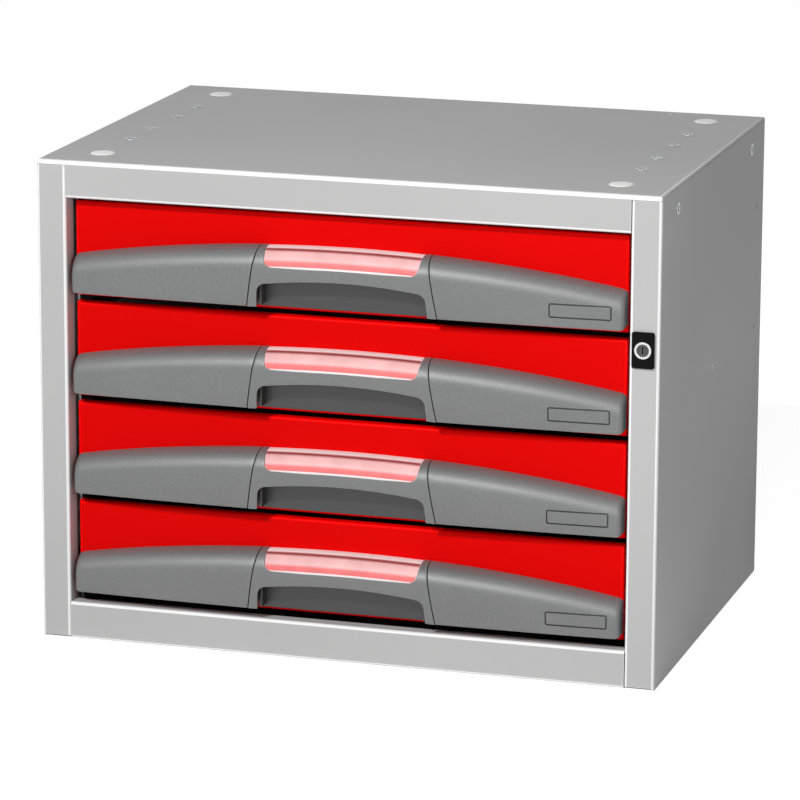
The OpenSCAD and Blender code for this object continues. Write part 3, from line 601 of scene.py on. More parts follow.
def smooth(piece: Piece, angle: float = 32.0) -> None:
    """Shades a piece smoothly apart from edges sharper than an angle in degrees.

    Args:
        piece: The piece.
        angle: The angle in degrees past which an edge stays sharp.
    """
    limit = math.radians(angle)
    with opened(piece.data) as work:
        for face in work.faces:
            face.smooth = True
        for edge in work.edges:
            edge.smooth = len(edge.link_faces) == 2 and edge.calc_face_angle(math.pi) < limit


def mark(piece: Piece, name: str, values: Grid, domain: str = "POINT") -> None:
    """Stores a number for each vertex or face, which a finish reads by its name."""
    layer = piece.data.attributes.new(name, "FLOAT", domain)
    layer.data.foreach_set("value", np.asarray(values, dtype=np.float32))


def mark_bend_highlights(work: BMesh, widest: float = 1.3 * MM, share: float = 0.6) -> None:
    """Marks the narrow faces that make up rounded bends, which the paint lights up as a painted highlight.

    Args:
        work: The piece.
        widest: Width that such a face doesn't pass.
        share: Part of its outline over which the surface goes on turning.
    """
    # The bend mark is a painted highlight: the paint turns these faces lighter.
    layer = work.faces.layers.float.new("bend")
    least, most = math.radians(3.0), math.radians(50.0)
    for face in work.faces:
        around = face.calc_perimeter()
        if 2.0 * face.calc_area() > widest * around:
            continue
        turns = sum(edge.calc_length() for edge in face.edges
                    if len(edge.link_faces) == 2 and least < edge.calc_face_angle(0.0) < most)
        face[layer] = float(turns > share * around)


def mark_band_highlight(work: BMesh, height: float) -> None:
    """Marks the band of a given height along the top of the front, where the sheet is rolled over, which the paint
    turns white as a painted highlight.

    Args:
        work: The piece.
        height: Height of the band.
    """
    top = max(vertex.co.z for vertex in work.verts)
    front = min(vertex.co.y for vertex in work.verts)
    bmesh.ops.bisect_plane(work, geom=work.verts[:] + work.edges[:] + work.faces[:], dist=0.01 * MM,
                           plane_co=(0.0, 0.0, top - height), plane_no=(0.0, 0.0, 1.0))
    layer = work.faces.layers.float["bend"]
    for face in work.faces:
        middle = face.calc_center_median()
        if middle.z > top - height and middle.y < front + 2.0 * MM and face.normal.y < -0.1:
            face[layer] = 1.0


def dress(piece: Piece, material: Material) -> None:
    """Gives a piece one material."""
    piece.data.materials.clear()
    piece.data.materials.append(material)


@dataclass(frozen=True)
class Fastener:
    """Place and sizes of one round fastener, measured on its CAD solid."""

    seat: tuple[float, float, float]
    way: tuple[float, float, float]
    head_radius: float
    head_height: float
    shank_radius: float
    shank_length: float

    @staticmethod
    def measure(points: Grid) -> "Fastener":
        """Finds the axis, the head's side and the sizes of a solid of revolution.

        Args:
            points: The solid's vertices.

        Returns:
            The fastener, with its seat where the head is widest and its way from there over the head.
        """
        low, high = points.min(axis=0), points.max(axis=0)
        size, middle = high - low, (low + high) / 2.0
        axis = min(range(3), key=lambda k: abs(size[k - 1] - size[k - 2]))
        radius = np.hypot(*np.delete(points - middle, axis, axis=1).T)
        rim = points[radius > 0.985 * radius.max(), axis]
        side = 1.0 if rim.mean() > middle[axis] else -1.0
        level = side * (side * rim).min()
        end, foot = (high[axis], low[axis]) if side > 0.0 else (low[axis], high[axis])
        shank = radius[np.abs(points[:, axis] - foot) < 0.05 * MM].max()
        seat, way = middle.copy(), np.zeros(3)
        seat[axis], way[axis] = level, side
        return Fastener(tuple(seat), tuple(way), *map(float, (radius.max(), abs(end - level), shank,
                                                              abs(level - foot))))


def solids(node: str) -> list[Grid]:
    """Splits a CAD node into its separate solids and returns the points of each.

    Args:
        node: The CAD node's name.

    Returns:
        An array of points for each solid.
    """
    work = bmesh.new()
    work.from_mesh(frame["nodes"][node].data)
    bmesh.ops.remove_doubles(work, verts=work.verts, dist=WELD)
    left, found = set(work.verts), []
    while left:
        queue, points = [left.pop()], []
        while queue:
            vertex = queue.pop()
            points.append(tuple(vertex.co))
            near = {edge.other_vert(vertex) for edge in vertex.link_edges} & left
            left -= near
            queue.extend(near)
        found.append(np.array(points))
    work.free()
    return found


class ShapeTree:
    """A geometry node tree with named numbers and a material, which realizes and dresses what it makes."""

    def __init__(self, name: str, numbers: Sequence[str]) -> None:
        """Makes the tree and its inputs.

        Args:
            name: The tree's name.
            numbers: The names of its inputs that are numbers.
        """
        self.tree = bpy.data.node_groups.new(name, "GeometryNodeTree")
        self.graph = Graph(self.tree)
        self.graph.socket(Side.INPUT, "Geometry", "Geometry")
        for number in numbers:
            self.graph.socket(Side.INPUT, number, "Float", 0.0)
        self.graph.socket(Side.INPUT, "Material", "Material")
        self.graph.socket(Side.OUTPUT, "Geometry", "Geometry")
        self.given = self.graph.add("NodeGroupInput").outputs

    def put_out(self, shape: Socket) -> None:
        """Realizes a shape, gives it the material and puts it out.

        Args:
            shape: The geometry that the tree has made.
        """
        real = self.graph.made("GeometryNodeRealizeInstances", {"Geometry": shape})
        dressed = self.graph.made("GeometryNodeSetMaterial", {"Geometry": real, "Material": self.given["Material"]})
        self.graph.add("NodeGroupOutput", {"Geometry": dressed})

    def apply(self, piece: Piece, **inputs: object) -> Piece:
        """Runs the tree on a piece, with underscores for spaces in its inputs' names.

        Args:
            piece: The piece that it runs on.
            **inputs: A value for each input.

        Returns:
            The same piece, as a plain mesh.
        """
        modifier = piece.modifiers.new(self.tree.name, "NODES")
        modifier.node_group = self.tree
        for item in self.tree.interface.items_tree:
            key = item.name.replace(" ", "_")
            if item.item_type == "SOCKET" and item.in_out == "INPUT" and key in inputs:
                modifier[item.identifier] = inputs[key]
        return bake_modifiers(piece)


class FastenerTree(ShapeTree):
    """Sets a domed head and its shank on every point that carries a way."""

    def __init__(self) -> None:
        """Builds the tree."""
        super().__init__("fasteners", ("Head Radius", "Head Height", "Shank Radius", "Shank Length"))
        graph, given = self.graph, self.given
        radius, length = given["Head Radius"], given["Shank Length"]
        ball = graph.made("GeometryNodeMeshUVSphere", {"Segments": 32, "Rings": 16, "Radius": 1.0})
        scale = graph.made("ShaderNodeCombineXYZ", {"X": radius, "Y": radius, "Z": given["Head Height"]})
        head = graph.made("GeometryNodeTransform", {"Geometry": ball, "Scale": scale})
        rod = graph.made("GeometryNodeMeshCylinder", {"Vertices": 24, "Radius": given["Shank Radius"],
                                                      "Depth": length})
        drop = graph.made("ShaderNodeCombineXYZ", {"Z": graph.math("MULTIPLY", length, -0.5)})
        shank = graph.made("GeometryNodeTransform", {"Geometry": rod, "Translation": drop})
        whole = graph.add("GeometryNodeJoinGeometry")
        for part in (shank, head):
            self.tree.links.new(part, whole.inputs[0])
        way = graph.made("GeometryNodeInputNamedAttribute", {"Name": "way"}, data_type="FLOAT_VECTOR")
        turn = graph.made("FunctionNodeAlignRotationToVector", {"Vector": way}, axis="Z")
        self.put_out(graph.made("GeometryNodeInstanceOnPoints", {
            "Points": given["Geometry"], "Instance": whole.outputs[0], "Rotation": turn}))

    def build(self, name: str, fasteners: Sequence[Fastener], material: Material) -> Piece:
        """Makes one piece of equal fasteners.

        Args:
            name: The piece's name.
            fasteners: Where they sit; the first gives the sizes.
            material: Their finish.

        Returns:
            The piece, as a plain mesh.
        """
        mesh = bpy.data.meshes.new(name)
        mesh.from_pydata([fastener.seat for fastener in fasteners], [], [])
        way = mesh.attributes.new("way", "FLOAT_VECTOR", "POINT")
        way.data.foreach_set("vector", np.array([fastener.way for fastener in fasteners], dtype=np.float32).ravel())
        first = fasteners[0]
        piece = self.apply(new_object(name, mesh), Head_Radius=first.head_radius, Head_Height=first.head_height,
                           Shank_Radius=first.shank_radius, Shank_Length=first.shank_length, Material=material)
        smooth(piece)
        return piece


class Slots:
    """The record's material slot and body of each CAD node."""

    def __init__(self, record: dict) -> None:
        """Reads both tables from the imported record."""
        self.slot = {part["node"]: part["material_slot"] for part in record["subparts"]}
        self.body = {node: body for body, nodes in record["behaviour"]["bodies"].items() for node in nodes}


class Assembly:
    """What every sub-assembly shares: the frame's nodes, the finishes and the way a piece is put in place."""

    def __init__(self, shop: FinishShop, slots: Slots, fasteners: FastenerTree) -> None:
        """Keeps the finishes, the node tables and the tree that sets fasteners.

        Args:
            shop: The finishes.
            slots: Slot and body of each CAD node.
            fasteners: The tree that sets fasteners.
        """
        self.shop = shop
        self.slots = slots
        self.fasteners = fasteners

    def place(self, piece: Piece, *nodes: str, slot: str | None = None) -> Piece:
        """Lets a finished piece stand for CAD nodes.

        Args:
            piece: The piece, at the origin.
            *nodes: The CAD nodes that it replaces; the first gives its body.
            slot: A material slot other than the first node's.

        Returns:
            The piece.
        """
        slot = slot or self.slots.slot[nodes[0]]
        dress(piece, self.shop[slot])
        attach(piece, self.slots.body[nodes[0]])
        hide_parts(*nodes)
        log.info("%s: %d faces", piece.name, len(piece.data.polygons))
        return piece

    def keep(self, node: str) -> None:
        """Leaves a CAD node in view and gives it its finish."""
        dress(frame["nodes"][node], self.shop[self.slots.slot[node]])
        log.info("%s: kept", node)

    def fastened(self, node: str) -> Piece:
        """Sets equal fasteners where a CAD node has them.

        Args:
            node: The CAD node of the fasteners.

        Returns:
            The piece that stands for the node.
        """
        found = sorted((Fastener.measure(points) for points in solids(node)), key=lambda one: one.seat)
        piece = self.fasteners.build(f"{node}_set", found, self.shop[self.slots.slot[node]])
        return self.place(piece, node)

    def eased(self, node: str, edge: float = 0.35 * MM, band: float = 0.0) -> Piece:
        """Copies a CAD node, merges its faces and eases its sharp edges.

        Args:
            node: The CAD node.
            edge: Width of the eased edges.
            band: Height of the rolled band along the top of its front, painted as a highlight, if it has one.

        Returns:
            The piece that stands for the node.
        """
        mesh = frame["nodes"][node].data.copy()
        mesh.name = f"{node}_skin"
        with opened(mesh) as work:
            bmesh.ops.remove_doubles(work, verts=work.verts, dist=WELD)
            bmesh.ops.dissolve_limit(work, angle_limit=math.radians(0.6), verts=work.verts, edges=work.edges)
            mark_bend_highlights(work)
            if band:
                mark_band_highlight(work, band)
        piece = new_object(f"{node}_skin", mesh)
        modify(piece, "BEVEL", width=edge, segments=2, limit_method="ANGLE", angle_limit=math.radians(40.0),
               use_clamp_overlap=True, harden_normals=False)
        bake_modifiers(piece)
        smooth(piece)
        modify(piece, "WEIGHTED_NORMAL", keep_sharp=True)
        return self.place(bake_modifiers(piece), node)


class Case(Assembly):
    """Panels, uprights and the small fittings of the case."""

    PANELS = ("top_panel", "bottom_panel", "left_side_panel", "right_side_panel", "back_panel")
    UPRIGHTS = ("left_front_upright", "right_front_upright", "left_rear_upright", "right_rear_upright")
    FASTENERS = ("hole_plugs", "panel_rivets")
    # Height of the top panel's front band that the paint turns white as a painted highlight
    HIGHLIGHT_BAND = 4.0 * MM

    def build(self) -> None:
        """Builds the case."""
        for node in self.PANELS + self.UPRIGHTS:
            self.eased(node, band=self.HIGHLIGHT_BAND if node == "top_panel" else 0.0)
        for node in self.FASTENERS:
            self.fastened(node)
        self.eased("threaded_inserts", 0.15 * MM)


class Lock(Assembly):
    """Lock plate, cylinder, cam and the bar that it moves."""

    NODES = ("lock_plate", "lock_housing", "lock_nut", "lock_barrel", "lock_cam", "locking_bar", "bar_guides")

    def build(self) -> None:
        """Builds the lock."""
        for node in self.NODES:
            piece = self.eased(node, 0.2 * MM)
            # The whole barrel is marked recess, so the metal paints it dark as shade.
            if node == "lock_barrel":
                mark(piece, "recess", np.ones(len(piece.data.vertices)))


class DrawerBox(Assembly):
    """One drawer apart from its handle: front, tray, slides, cages and screws."""

    PARTS = ("front", "tray", "inner_slides", "outer_slides")

    def build(self, number: int) -> None:
        """Builds the drawer's sheet metal and slides.

        Args:
            number: The drawer's number.
        """
        for part in self.PARTS:
            self.eased(f"drawer_{number}_{part}")
        self.fastened(f"drawer_{number}_handle_screws")
        self.keep(f"drawer_{number}_ball_cages")


# ---- Handle ----

# Points along a wing, around its section, over its rounded end and through its wall's depth
WING_STEPS = 44
SECTION_STEPS = 25
END_STEPS = 8
DEPTH_STEPS = 4
# Points over a rounded corner of an opening, and from there to the middle and to the back
CORNER_STEPS = 9
HALF_CORNER = CORNER_STEPS // 2
MIDDLE_STEPS = 24
BACK_STEPS = 14
# Points on the strip between the finger opening and the window, and rows beside and between them
STRIP_STEPS = 5
SIDE_ROWS = 6
BAR_ROWS = 5
# Points across the label cover, up its straight sides and over its corners, and over the label field's
COVER_STEPS = 30
COVER_ROWS = 18
COVER_CORNER = 7
FIELD_CORNER = 5
# Share of its corner's radius that the finger opening's leg leaves to the corner, and share of the groove's
# width by which its inner corners are tighter
LEG_END = 0.9
INNER_CORNER = 0.6
# Halvings after which a length is exact, and passes after which a slanted line and a wing's outline are
HALVINGS = 40
SEAM_PASSES = 4
WING_PASSES = 5


@dataclass(frozen=True)
class Bow:
    """The handle's form: one section swept along a single leaning arc.

    A straight pattern has x across, p forward of the case's front and h above the bottom of the drawer front.
    Along the section, s is the length from where face and crown meet: negative down the face, positive
    over the crown and back.
    """

    half: float
    front: float
    lift: float = 4.8 * MM
    height: float = 55.0 * MM
    end_height: float = 33.6 * MM
    proud: float = 10.0 * MM
    fall_back: float = 8.0 * MM
    crown: float = 19.0 * MM
    face: float = 160.0 * MM
    recess: float = 13.0 * MM

    @property
    def top(self) -> float:
        """Height of the handle's top at its middle."""
        return self.lift + self.height

    @property
    def quarter(self) -> float:
        """Length of the crown along the section."""
        return self.crown * math.pi / 2.0

    @property
    def drop(self) -> float:
        """How far the top falls towards the ends."""
        return self.height - self.end_height

    @property
    def lean(self) -> float:
        """Angle by which the arc's plane leans forward."""
        return math.atan2(self.fall_back, self.drop)

    @property
    def radius(self) -> float:
        """Radius of the leaning arc."""
        sag = math.hypot(self.drop, self.fall_back)
        return (self.half**2 + sag**2) / (2.0 * sag)

    def section(self, s: Grid, sink_p: Grid | float = 0.0,
                sink_h: Grid | float = 0.0) -> tuple[Grid, Grid]:
        """Gives points of the straight section.

        Args:
            s: Lengths along the section.
            sink_p: How far each point lies below the surface, forward.
            sink_h: How far each point lies below the surface, upward.

        Returns:
            The points' p and h.
        """
        down = np.minimum(s, 0.0) / self.face
        over = np.clip(s, 0.0, self.quarter) / self.crown
        p = self.proud - self.face * (1 - np.cos(down)) - self.crown * (1 - np.cos(over))
        h = self.top - self.crown + self.face * np.sin(down) + self.crown * np.sin(over)
        p = p - np.maximum(s - self.quarter, 0.0) - sink_p * np.cos(down + over)
        return p, h - sink_h * np.sin(down + over)

    def bend(self, x: Grid, p: Grid, h: Grid) -> tuple[Grid, Grid]:
        """Bends straight points; x stays.

        Args:
            x: Places across.
            p: Straight places forward.
            h: Straight heights.

        Returns:
            The points' place forward of the case's front and height above the drawer front's bottom.
        """
        cos, sin = math.cos(self.lean), math.sin(self.lean)
        ring = self.radius + (h - self.top) * cos + p * sin
        rise = np.sqrt(ring**2 - x**2) - self.radius
        side = p * cos - (h - self.top) * sin
        return rise * sin + side * cos, self.top + rise * cos - side * sin

    def straighten(self, x: Grid, forward: Grid, height: Grid) -> tuple[Grid, Grid]:
        """Turns bent places back into straight p and h.

        Args:
            x: Places across.
            forward: How far they lie forward of the case's front.
            height: How far they lie above the drawer front's bottom.

        Returns:
            The straight p and h.
        """
        cos, sin = math.cos(self.lean), math.sin(self.lean)
        rise = forward * sin + (height - self.top) * cos
        side = forward * cos - (height - self.top) * sin
        ring = np.sqrt((rise + self.radius) ** 2 + x**2) - self.radius
        return ring * sin + side * cos, self.top + ring * cos - side * sin

    def at(self, x: Grid, s: Grid, sink: tuple = (0.0, 0.0)) -> tuple[Grid, Grid]:
        """Place forward of the case's front and height of a point of the bent surface."""
        return self.bend(x, *self.section(s, *sink))

    @staticmethod
    def _halved(low: Grid, high: Grid, past: Callable[[Grid], Grid]) -> Grid:
        """Halves the span between two lengths until it closes on where a test turns true.

        Args:
            low: Lengths at which the test is false.
            high: Lengths at which it is true.
            past: The test.

        Returns:
            The lengths at which it turns true.
        """
        for _ in range(HALVINGS):
            middle = (low + high) / 2.0
            far = past(middle)
            low, high = np.where(far, low, middle), np.where(far, middle, high)
        return low

    def s_at_height(self, x: Grid, height: Grid, sink: tuple = (0.0, 0.0)) -> Grid:
        """Length along the section at which the bent surface has a height, below the crown's top."""
        low = np.full(np.broadcast(x, height).shape, -1.5 * self.height)
        return self._halved(low, np.full_like(low, self.quarter), lambda s: self.at(x, s, sink)[1] > height)

    def s_at_back(self, x: Grid, sink: tuple = (0.0, 0.0)) -> Grid:
        """Length along the section at which the bent surface meets the drawer front.

        Args:
            x: Places across.
            sink: How far below the surface, forward and upward.

        Returns:
            The lengths.
        """
        low = np.zeros(np.shape(x))
        return self._halved(low, np.full_like(low, 3.0 * self.crown),
                            lambda s: self.at(x, s, sink)[0] <= -self.recess)


class Pattern:
    """Collects the patches of a straight pattern. A vertex is (x, -p, h), so that y points back."""

    def __init__(self) -> None:
        """Starts with no patch."""
        self.work = bmesh.new()

    def patch(self, x: Grid, p: Grid, h: Grid) -> None:
        """Adds a grid of faces over arrays of the same two-dimensional shape.

        Args:
            x: Places across.
            p: Places forward.
            h: Heights.
        """
        x, p, h = np.broadcast_arrays(x, p, h)
        rows, columns = x.shape
        verts = [[self.work.verts.new((x[i, j], -p[i, j], h[i, j])) for j in range(columns)] for i in range(rows)]
        for i in range(rows - 1):
            for j in range(columns - 1):
                self.work.faces.new((verts[i][j], verts[i + 1][j], verts[i + 1][j + 1], verts[i][j + 1]))

    def cap(self, x: Grid, p: Grid, h: Grid) -> None:
        """Adds one flat face with the given corners."""
        self.work.faces.new([self.work.verts.new((a, -b, c)) for a, b, c in zip(*np.broadcast_arrays(x, p, h))])

    def mirror(self) -> None:
        """Adds the mirror image on the other side of the middle."""
        bmesh.ops.mirror(self.work, geom=self.work.verts[:] + self.work.edges[:] + self.work.faces[:],
                         axis="X", merge_dist=-1.0)

    def mesh(self, name: str) -> Mesh:
        """Merges the patches and returns them as a mesh whose faces point out of the handle.

        Args:
            name: The mesh's name.

        Returns:
            The mesh.
        """
        bmesh.ops.remove_doubles(self.work, verts=self.work.verts, dist=0.01 * MM)
        bmesh.ops.dissolve_degenerate(self.work, edges=self.work.edges, dist=0.005 * MM)
        bmesh.ops.recalc_face_normals(self.work, faces=self.work.faces)
        self.work.normal_update()
        open_skin = any(edge.is_boundary for edge in self.work.edges)
        if open_skin and sum(face.normal.y * face.calc_area() for face in self.work.faces) > 0.0:
            bmesh.ops.reverse_faces(self.work, faces=self.work.faces)
        made = bpy.data.meshes.new(name)
        self.work.to_mesh(made)
        self.work.free()
        return made


class BowTree(ShapeTree):
    """Bends a straight pattern along the handle's leaning arc."""

    def __init__(self) -> None:
        """Builds the tree."""
        super().__init__("bow", ("Arc Radius", "Lean", "Top Height", "Front Plane", "Base Height"))
        graph, given = self.graph, self.given
        place = graph.add("ShaderNodeSeparateXYZ", {0: graph.made("GeometryNodeInputPosition")}).outputs
        add, take, times, power = (partial(graph.math, kind) for kind in ("ADD", "SUBTRACT", "MULTIPLY", "POWER"))
        cos, sin = (graph.math(kind, given["Lean"]) for kind in ("COSINE", "SINE"))
        forward = times(place["Y"], -1.0)
        below = take(place["Z"], given["Top Height"])
        ring = add(given["Arc Radius"], add(times(below, cos), times(forward, sin)))
        chord = take(power(ring, 2.0), power(place["X"], 2.0))
        rise = take(graph.math("SQRT", chord), given["Arc Radius"])
        side = take(times(forward, cos), times(below, sin))
        ahead = add(times(rise, sin), times(side, cos))
        up = take(times(rise, cos), times(side, sin))
        top = add(given["Base Height"], given["Top Height"])
        bent = graph.made("ShaderNodeCombineXYZ", {"X": place["X"], "Y": take(given["Front Plane"], ahead),
                                                   "Z": add(top, up)})
        self.put_out(graph.made("GeometryNodeSetPosition", {"Geometry": given["Geometry"], "Position": bent}))


@dataclass(frozen=True)
class Opening:
    """Half an outline in the handle's front view, which widens or narrows with height."""

    half_low: float
    half_high: float
    low: float
    high: float

    def half(self, height: Grid) -> Grid:
        """Half width at a height."""
        return self.half_low + (self.half_high - self.half_low) * (height - self.low) / (self.high - self.low)


def arc_steps(count: int) -> Grid:
    """Returns angles from 0 to a right angle in even steps."""
    return np.linspace(0.0, math.pi / 2.0, count)


def blend_rows(first: tuple, last: tuple, count: int) -> tuple[Grid, Grid]:
    """Rules rows between two curves.

    Args:
        first: x and s along the first curve.
        last: x and s along the last curve, with as many points.
        count: Number of rows, both curves included.

    Returns:
        x and s of the grid.
    """
    t = np.linspace(0.0, 1.0, count)[:, None]
    return first[0] * (1 - t) + last[0] * t, first[1] * (1 - t) + last[1] * t


@dataclass
class HandleSizes:
    """Sizes of the three mouldings and the label cover."""

    wall: float = 2.5 * MM
    seam: float = 1.2 * MM
    seam_foot: float = 80.0 * MM
    edge: float = 0.8 * MM
    end_radius: float = 5.0 * MM
    end_rise: float = 3.0 * MM
    first_guess: float = 150.0 * MM
    seam_line: Opening = Opening(86.5 * MM, 77.5 * MM, 4.8 * MM, 59.8 * MM)
    window: Opening = Opening(70.0 * MM, 72.5 * MM, 41.5 * MM, 61.8 * MM)
    window_corner: float = 8.0 * MM
    grip: Opening = Opening(78.5 * MM, 77.0 * MM, 0.0, 25.5 * MM)
    grip_rise: float = 6.0 * MM
    grip_corner: float = 9.0 * MM
    cover_play: float = 0.3 * MM
    cover_sink: float = 0.6 * MM
    cover_wall: float = 1.8 * MM
    cover_edge: float = 0.4 * MM
    scoop_half: float = 80.5 * MM
    scoop_foot: float = 2.5 * MM
    scoop_low_half: float = 82.8 * MM
    scoop_low_wall: float = 1.4 * MM
    scoop_low_foot: float = 3.0 * MM
    scoop_low_gap: float = 0.2 * MM
    scoop_wall: float = 1.8 * MM
    scoop_edge: float = 0.3 * MM
    rib_half: float = 75.5 * MM
    rib_ahead: float = 2.0 * MM
    rib_foot: float = 1.0 * MM
    shelf_ahead: float = 4.0 * MM
    field: tuple[float, float, float, float] = (27.8 * MM, 6.6 * MM, 214.8 * MM, 19.5 * MM)
    field_corner: float = 2.0 * MM
    groove: float = 1.5 * MM
    groove_depth: float = 1.1 * MM


class Handle(Assembly):
    """A drawer's bow handle: centre moulding, two wings and the clear label cover."""

    def __init__(self, shop: FinishShop, slots: Slots, fasteners: FastenerTree, tree: BowTree,
                 sizes: HandleSizes) -> None:
        """Reads the handle's place from the frame.

        Args:
            shop: The finishes.
            slots: Slot and body of each CAD node.
            fasteners: The tree that sets fasteners.
            tree: The tree that bends a pattern.
            sizes: The mouldings' sizes.
        """
        super().__init__(shop, slots, fasteners)
        self.tree = tree
        self.sizes = sizes
        self.bow = Bow(half=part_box("drawer_1_handle_right_wing")[1].x, front=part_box("top_panel")[0].y)

    def build(self) -> None:
        """Builds the lowest handle once and repeats it on every drawer."""
        base = {number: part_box(f"drawer_{number}_front")[0].z for number in DRAWERS}
        lowest = min(base, key=base.get)
        for part, piece in self._pieces(base[lowest]).items():
            for number in DRAWERS:
                mesh = piece.data.copy()
                mesh.transform(Matrix.Translation((0.0, 0.0, base[number] - base[lowest])))
                self.place(new_object(f"drawer_{number}_{part}_skin", mesh), f"drawer_{number}_{part}")
            bpy.data.objects.remove(piece)

    def _pieces(self, base: float) -> dict[str, Piece]:
        """Makes the mouldings and the cover of the handle on the drawer whose front starts at a height.

        Args:
            base: Height of the drawer front's bottom.

        Returns:
            The pieces by their part of the node's name.
        """
        made = {}
        for side, wing in ((1.0, "right"), (-1.0, "left")):
            made[f"handle_{wing}_wing"] = self._shelled(self._bent(wing, self._wing(side), base))
        self._cut_field(made["handle_right_wing"], base)
        centre = self._shelled(self._bent("centre", self._centre(), base))
        self._add_scoop(centre, base)
        cover = self._shelled(self._bent("cover", self._cover(), base), self.sizes.cover_wall, self.sizes.cover_edge)
        mark(cover, "rise", self._rise(cover, base))
        return {**made, "handle_centre": centre, "label_window": cover}

    def _bent(self, name: str, pattern: Pattern, base: float) -> Piece:
        """Bends a pattern on the drawer whose front starts at a height.

        Args:
            name: The piece's name.
            pattern: Its straight pattern.
            base: Height of the drawer front's bottom.

        Returns:
            The bent skin.
        """
        return self.tree.apply(new_object(name, pattern.mesh(name)), Arc_Radius=self.bow.radius, Lean=self.bow.lean,
                               Top_Height=self.bow.top, Front_Plane=self.bow.front, Base_Height=base,
                               Material=self.shop["handle_plastic"])

    def _shelled(self, piece: Piece, wall: float | None = None, edge: float | None = None) -> Piece:
        """Gives a bent skin its wall, eases its edges and trims it at the drawer front.

        Args:
            piece: The bent skin.
            wall: Its wall, if not the mouldings' own.
            edge: Width of its eased edges, if not the mouldings' own.

        Returns:
            The same piece.
        """
        modify(piece, "SOLIDIFY", thickness=wall or self.sizes.wall, offset=-1.0, use_even_offset=True)
        modify(piece, "BEVEL", width=edge or self.sizes.edge, segments=3, limit_method="ANGLE",
               angle_limit=math.radians(50.0), use_clamp_overlap=True)
        bake_modifiers(piece)
        back = self.bow.front + self.bow.recess
        for vertex in piece.data.vertices:
            vertex.co.y = min(vertex.co.y, back)
        smooth(piece, 40.0)
        return piece

    def _surface(self, pattern: Pattern, x: Grid, s: Grid, sink: tuple = (0.0, 0.0)) -> None:
        """Adds a patch of the handle's surface."""
        p, h = self.bow.section(s, *sink)
        pattern.patch(x, p, h)

    def _seam_x(self, s: Grid, line: Opening) -> Grid:
        """x of a slanted line at points along the section.

        Args:
            s: Lengths along the section.
            line: The line in the front view.

        Returns:
            The places across.
        """
        x = np.full(np.shape(s), line.half_low)
        for _ in range(SEAM_PASSES):
            x = line.half(self.bow.at(x, s)[1])
        return x

    def _wing(self, side: float) -> Pattern:
        """Makes the straight pattern of a wing: face, crown, rounded end, bottom and both side walls.

        Args:
            side: 1 for the right wing and -1 for the left.

        Returns:
            The pattern.
        """
        bow, sizes = self.bow, self.sizes
        rounding = arc_steps(END_STEPS)[1:]
        share = np.concatenate([np.linspace(0.0, 1.0, WING_STEPS), np.ones(rounding.size)])[:, None]
        turn = np.concatenate([np.zeros(WING_STEPS), rounding])[:, None]
        reach = sizes.end_radius * np.sin(turn)
        sink = (sizes.end_radius * (1 - np.cos(turn)), sizes.end_rise * (1 - np.cos(turn)))
        row = np.linspace(-1.0, 1.0, SECTION_STEPS)[None, :]
        x = np.full((share.size, row.size), sizes.first_guess)
        for _ in range(WING_PASSES):
            foot = bow.s_at_height(x, bow.lift + sink[1], sink)
            s = np.where(row < 0.0, -row * foot, row * bow.s_at_back(x, sink))
            start = sizes.seam_line.half(bow.at(x, s, sink)[1]) + sizes.seam
            x = start + share * (bow.half - sizes.end_radius - start) + reach
        pattern = Pattern()
        p, h = bow.section(s, *sink)
        pattern.patch(side * x, p, h)
        forward, height = bow.bend(x[:, :1], p[:, :1], h[:, :1])
        depth = np.linspace(0.0, 1.0, DEPTH_STEPS)[None, :]
        flat = bow.straighten(x[:, :1], forward + depth * (-bow.recess - forward), height)
        pattern.patch(side * x[:, :1], *flat)
        for column in (0, -1):
            back_x, back_p, back_h = x[column, 0], flat[0][column, -1], flat[1][column, -1]
            pattern.cap(side * np.append(x[column], back_x), np.append(p[column], back_p),
                        np.append(h[column], back_h))
        return pattern

    def _centre(self) -> Pattern:
        """Makes the straight pattern of the centre moulding around its window and finger opening.

        Returns:
            The pattern.
        """
        bow, sizes = self.bow, self.sizes
        grip_leg, grip_bar = self._grip_edge()
        side, sill = self._window_edge()
        seam_s = [bow.s_at_height(sizes.seam_foot, bow.lift), grip_leg[1][-1], side[1][0],
                  bow.s_at_back(sizes.seam_line.half_high)]
        seams = []
        for low, high, steps in zip(seam_s, seam_s[1:], (grip_leg[0].size, STRIP_STEPS, side[0].size)):
            s = np.linspace(low, high, steps)
            seams.append((self._seam_x(s, sizes.seam_line), s))
        pattern = Pattern()
        corner = tuple(np.linspace(low[-1], high[0], STRIP_STEPS) for low, high in zip(grip_leg, side))
        for inner, outer in zip((grip_leg, corner, side), seams):
            self._surface(pattern, *blend_rows(inner, outer, SIDE_ROWS))
        self._surface(pattern, *blend_rows(grip_bar, sill, BAR_ROWS))
        x, s = (np.concatenate(values) for values in zip(*seams))
        keep = np.append(True, np.diff(s) > 1e-7)
        p, h = bow.section(s[keep])
        forward, height = bow.bend(x[:1], p[:1], h[:1])
        flat = bow.straighten(x[:1], -bow.recess, height)
        pattern.cap(np.append(x[keep], x[0]), np.append(p, flat[0]), np.append(h, flat[1]))
        pattern.mirror()
        return pattern

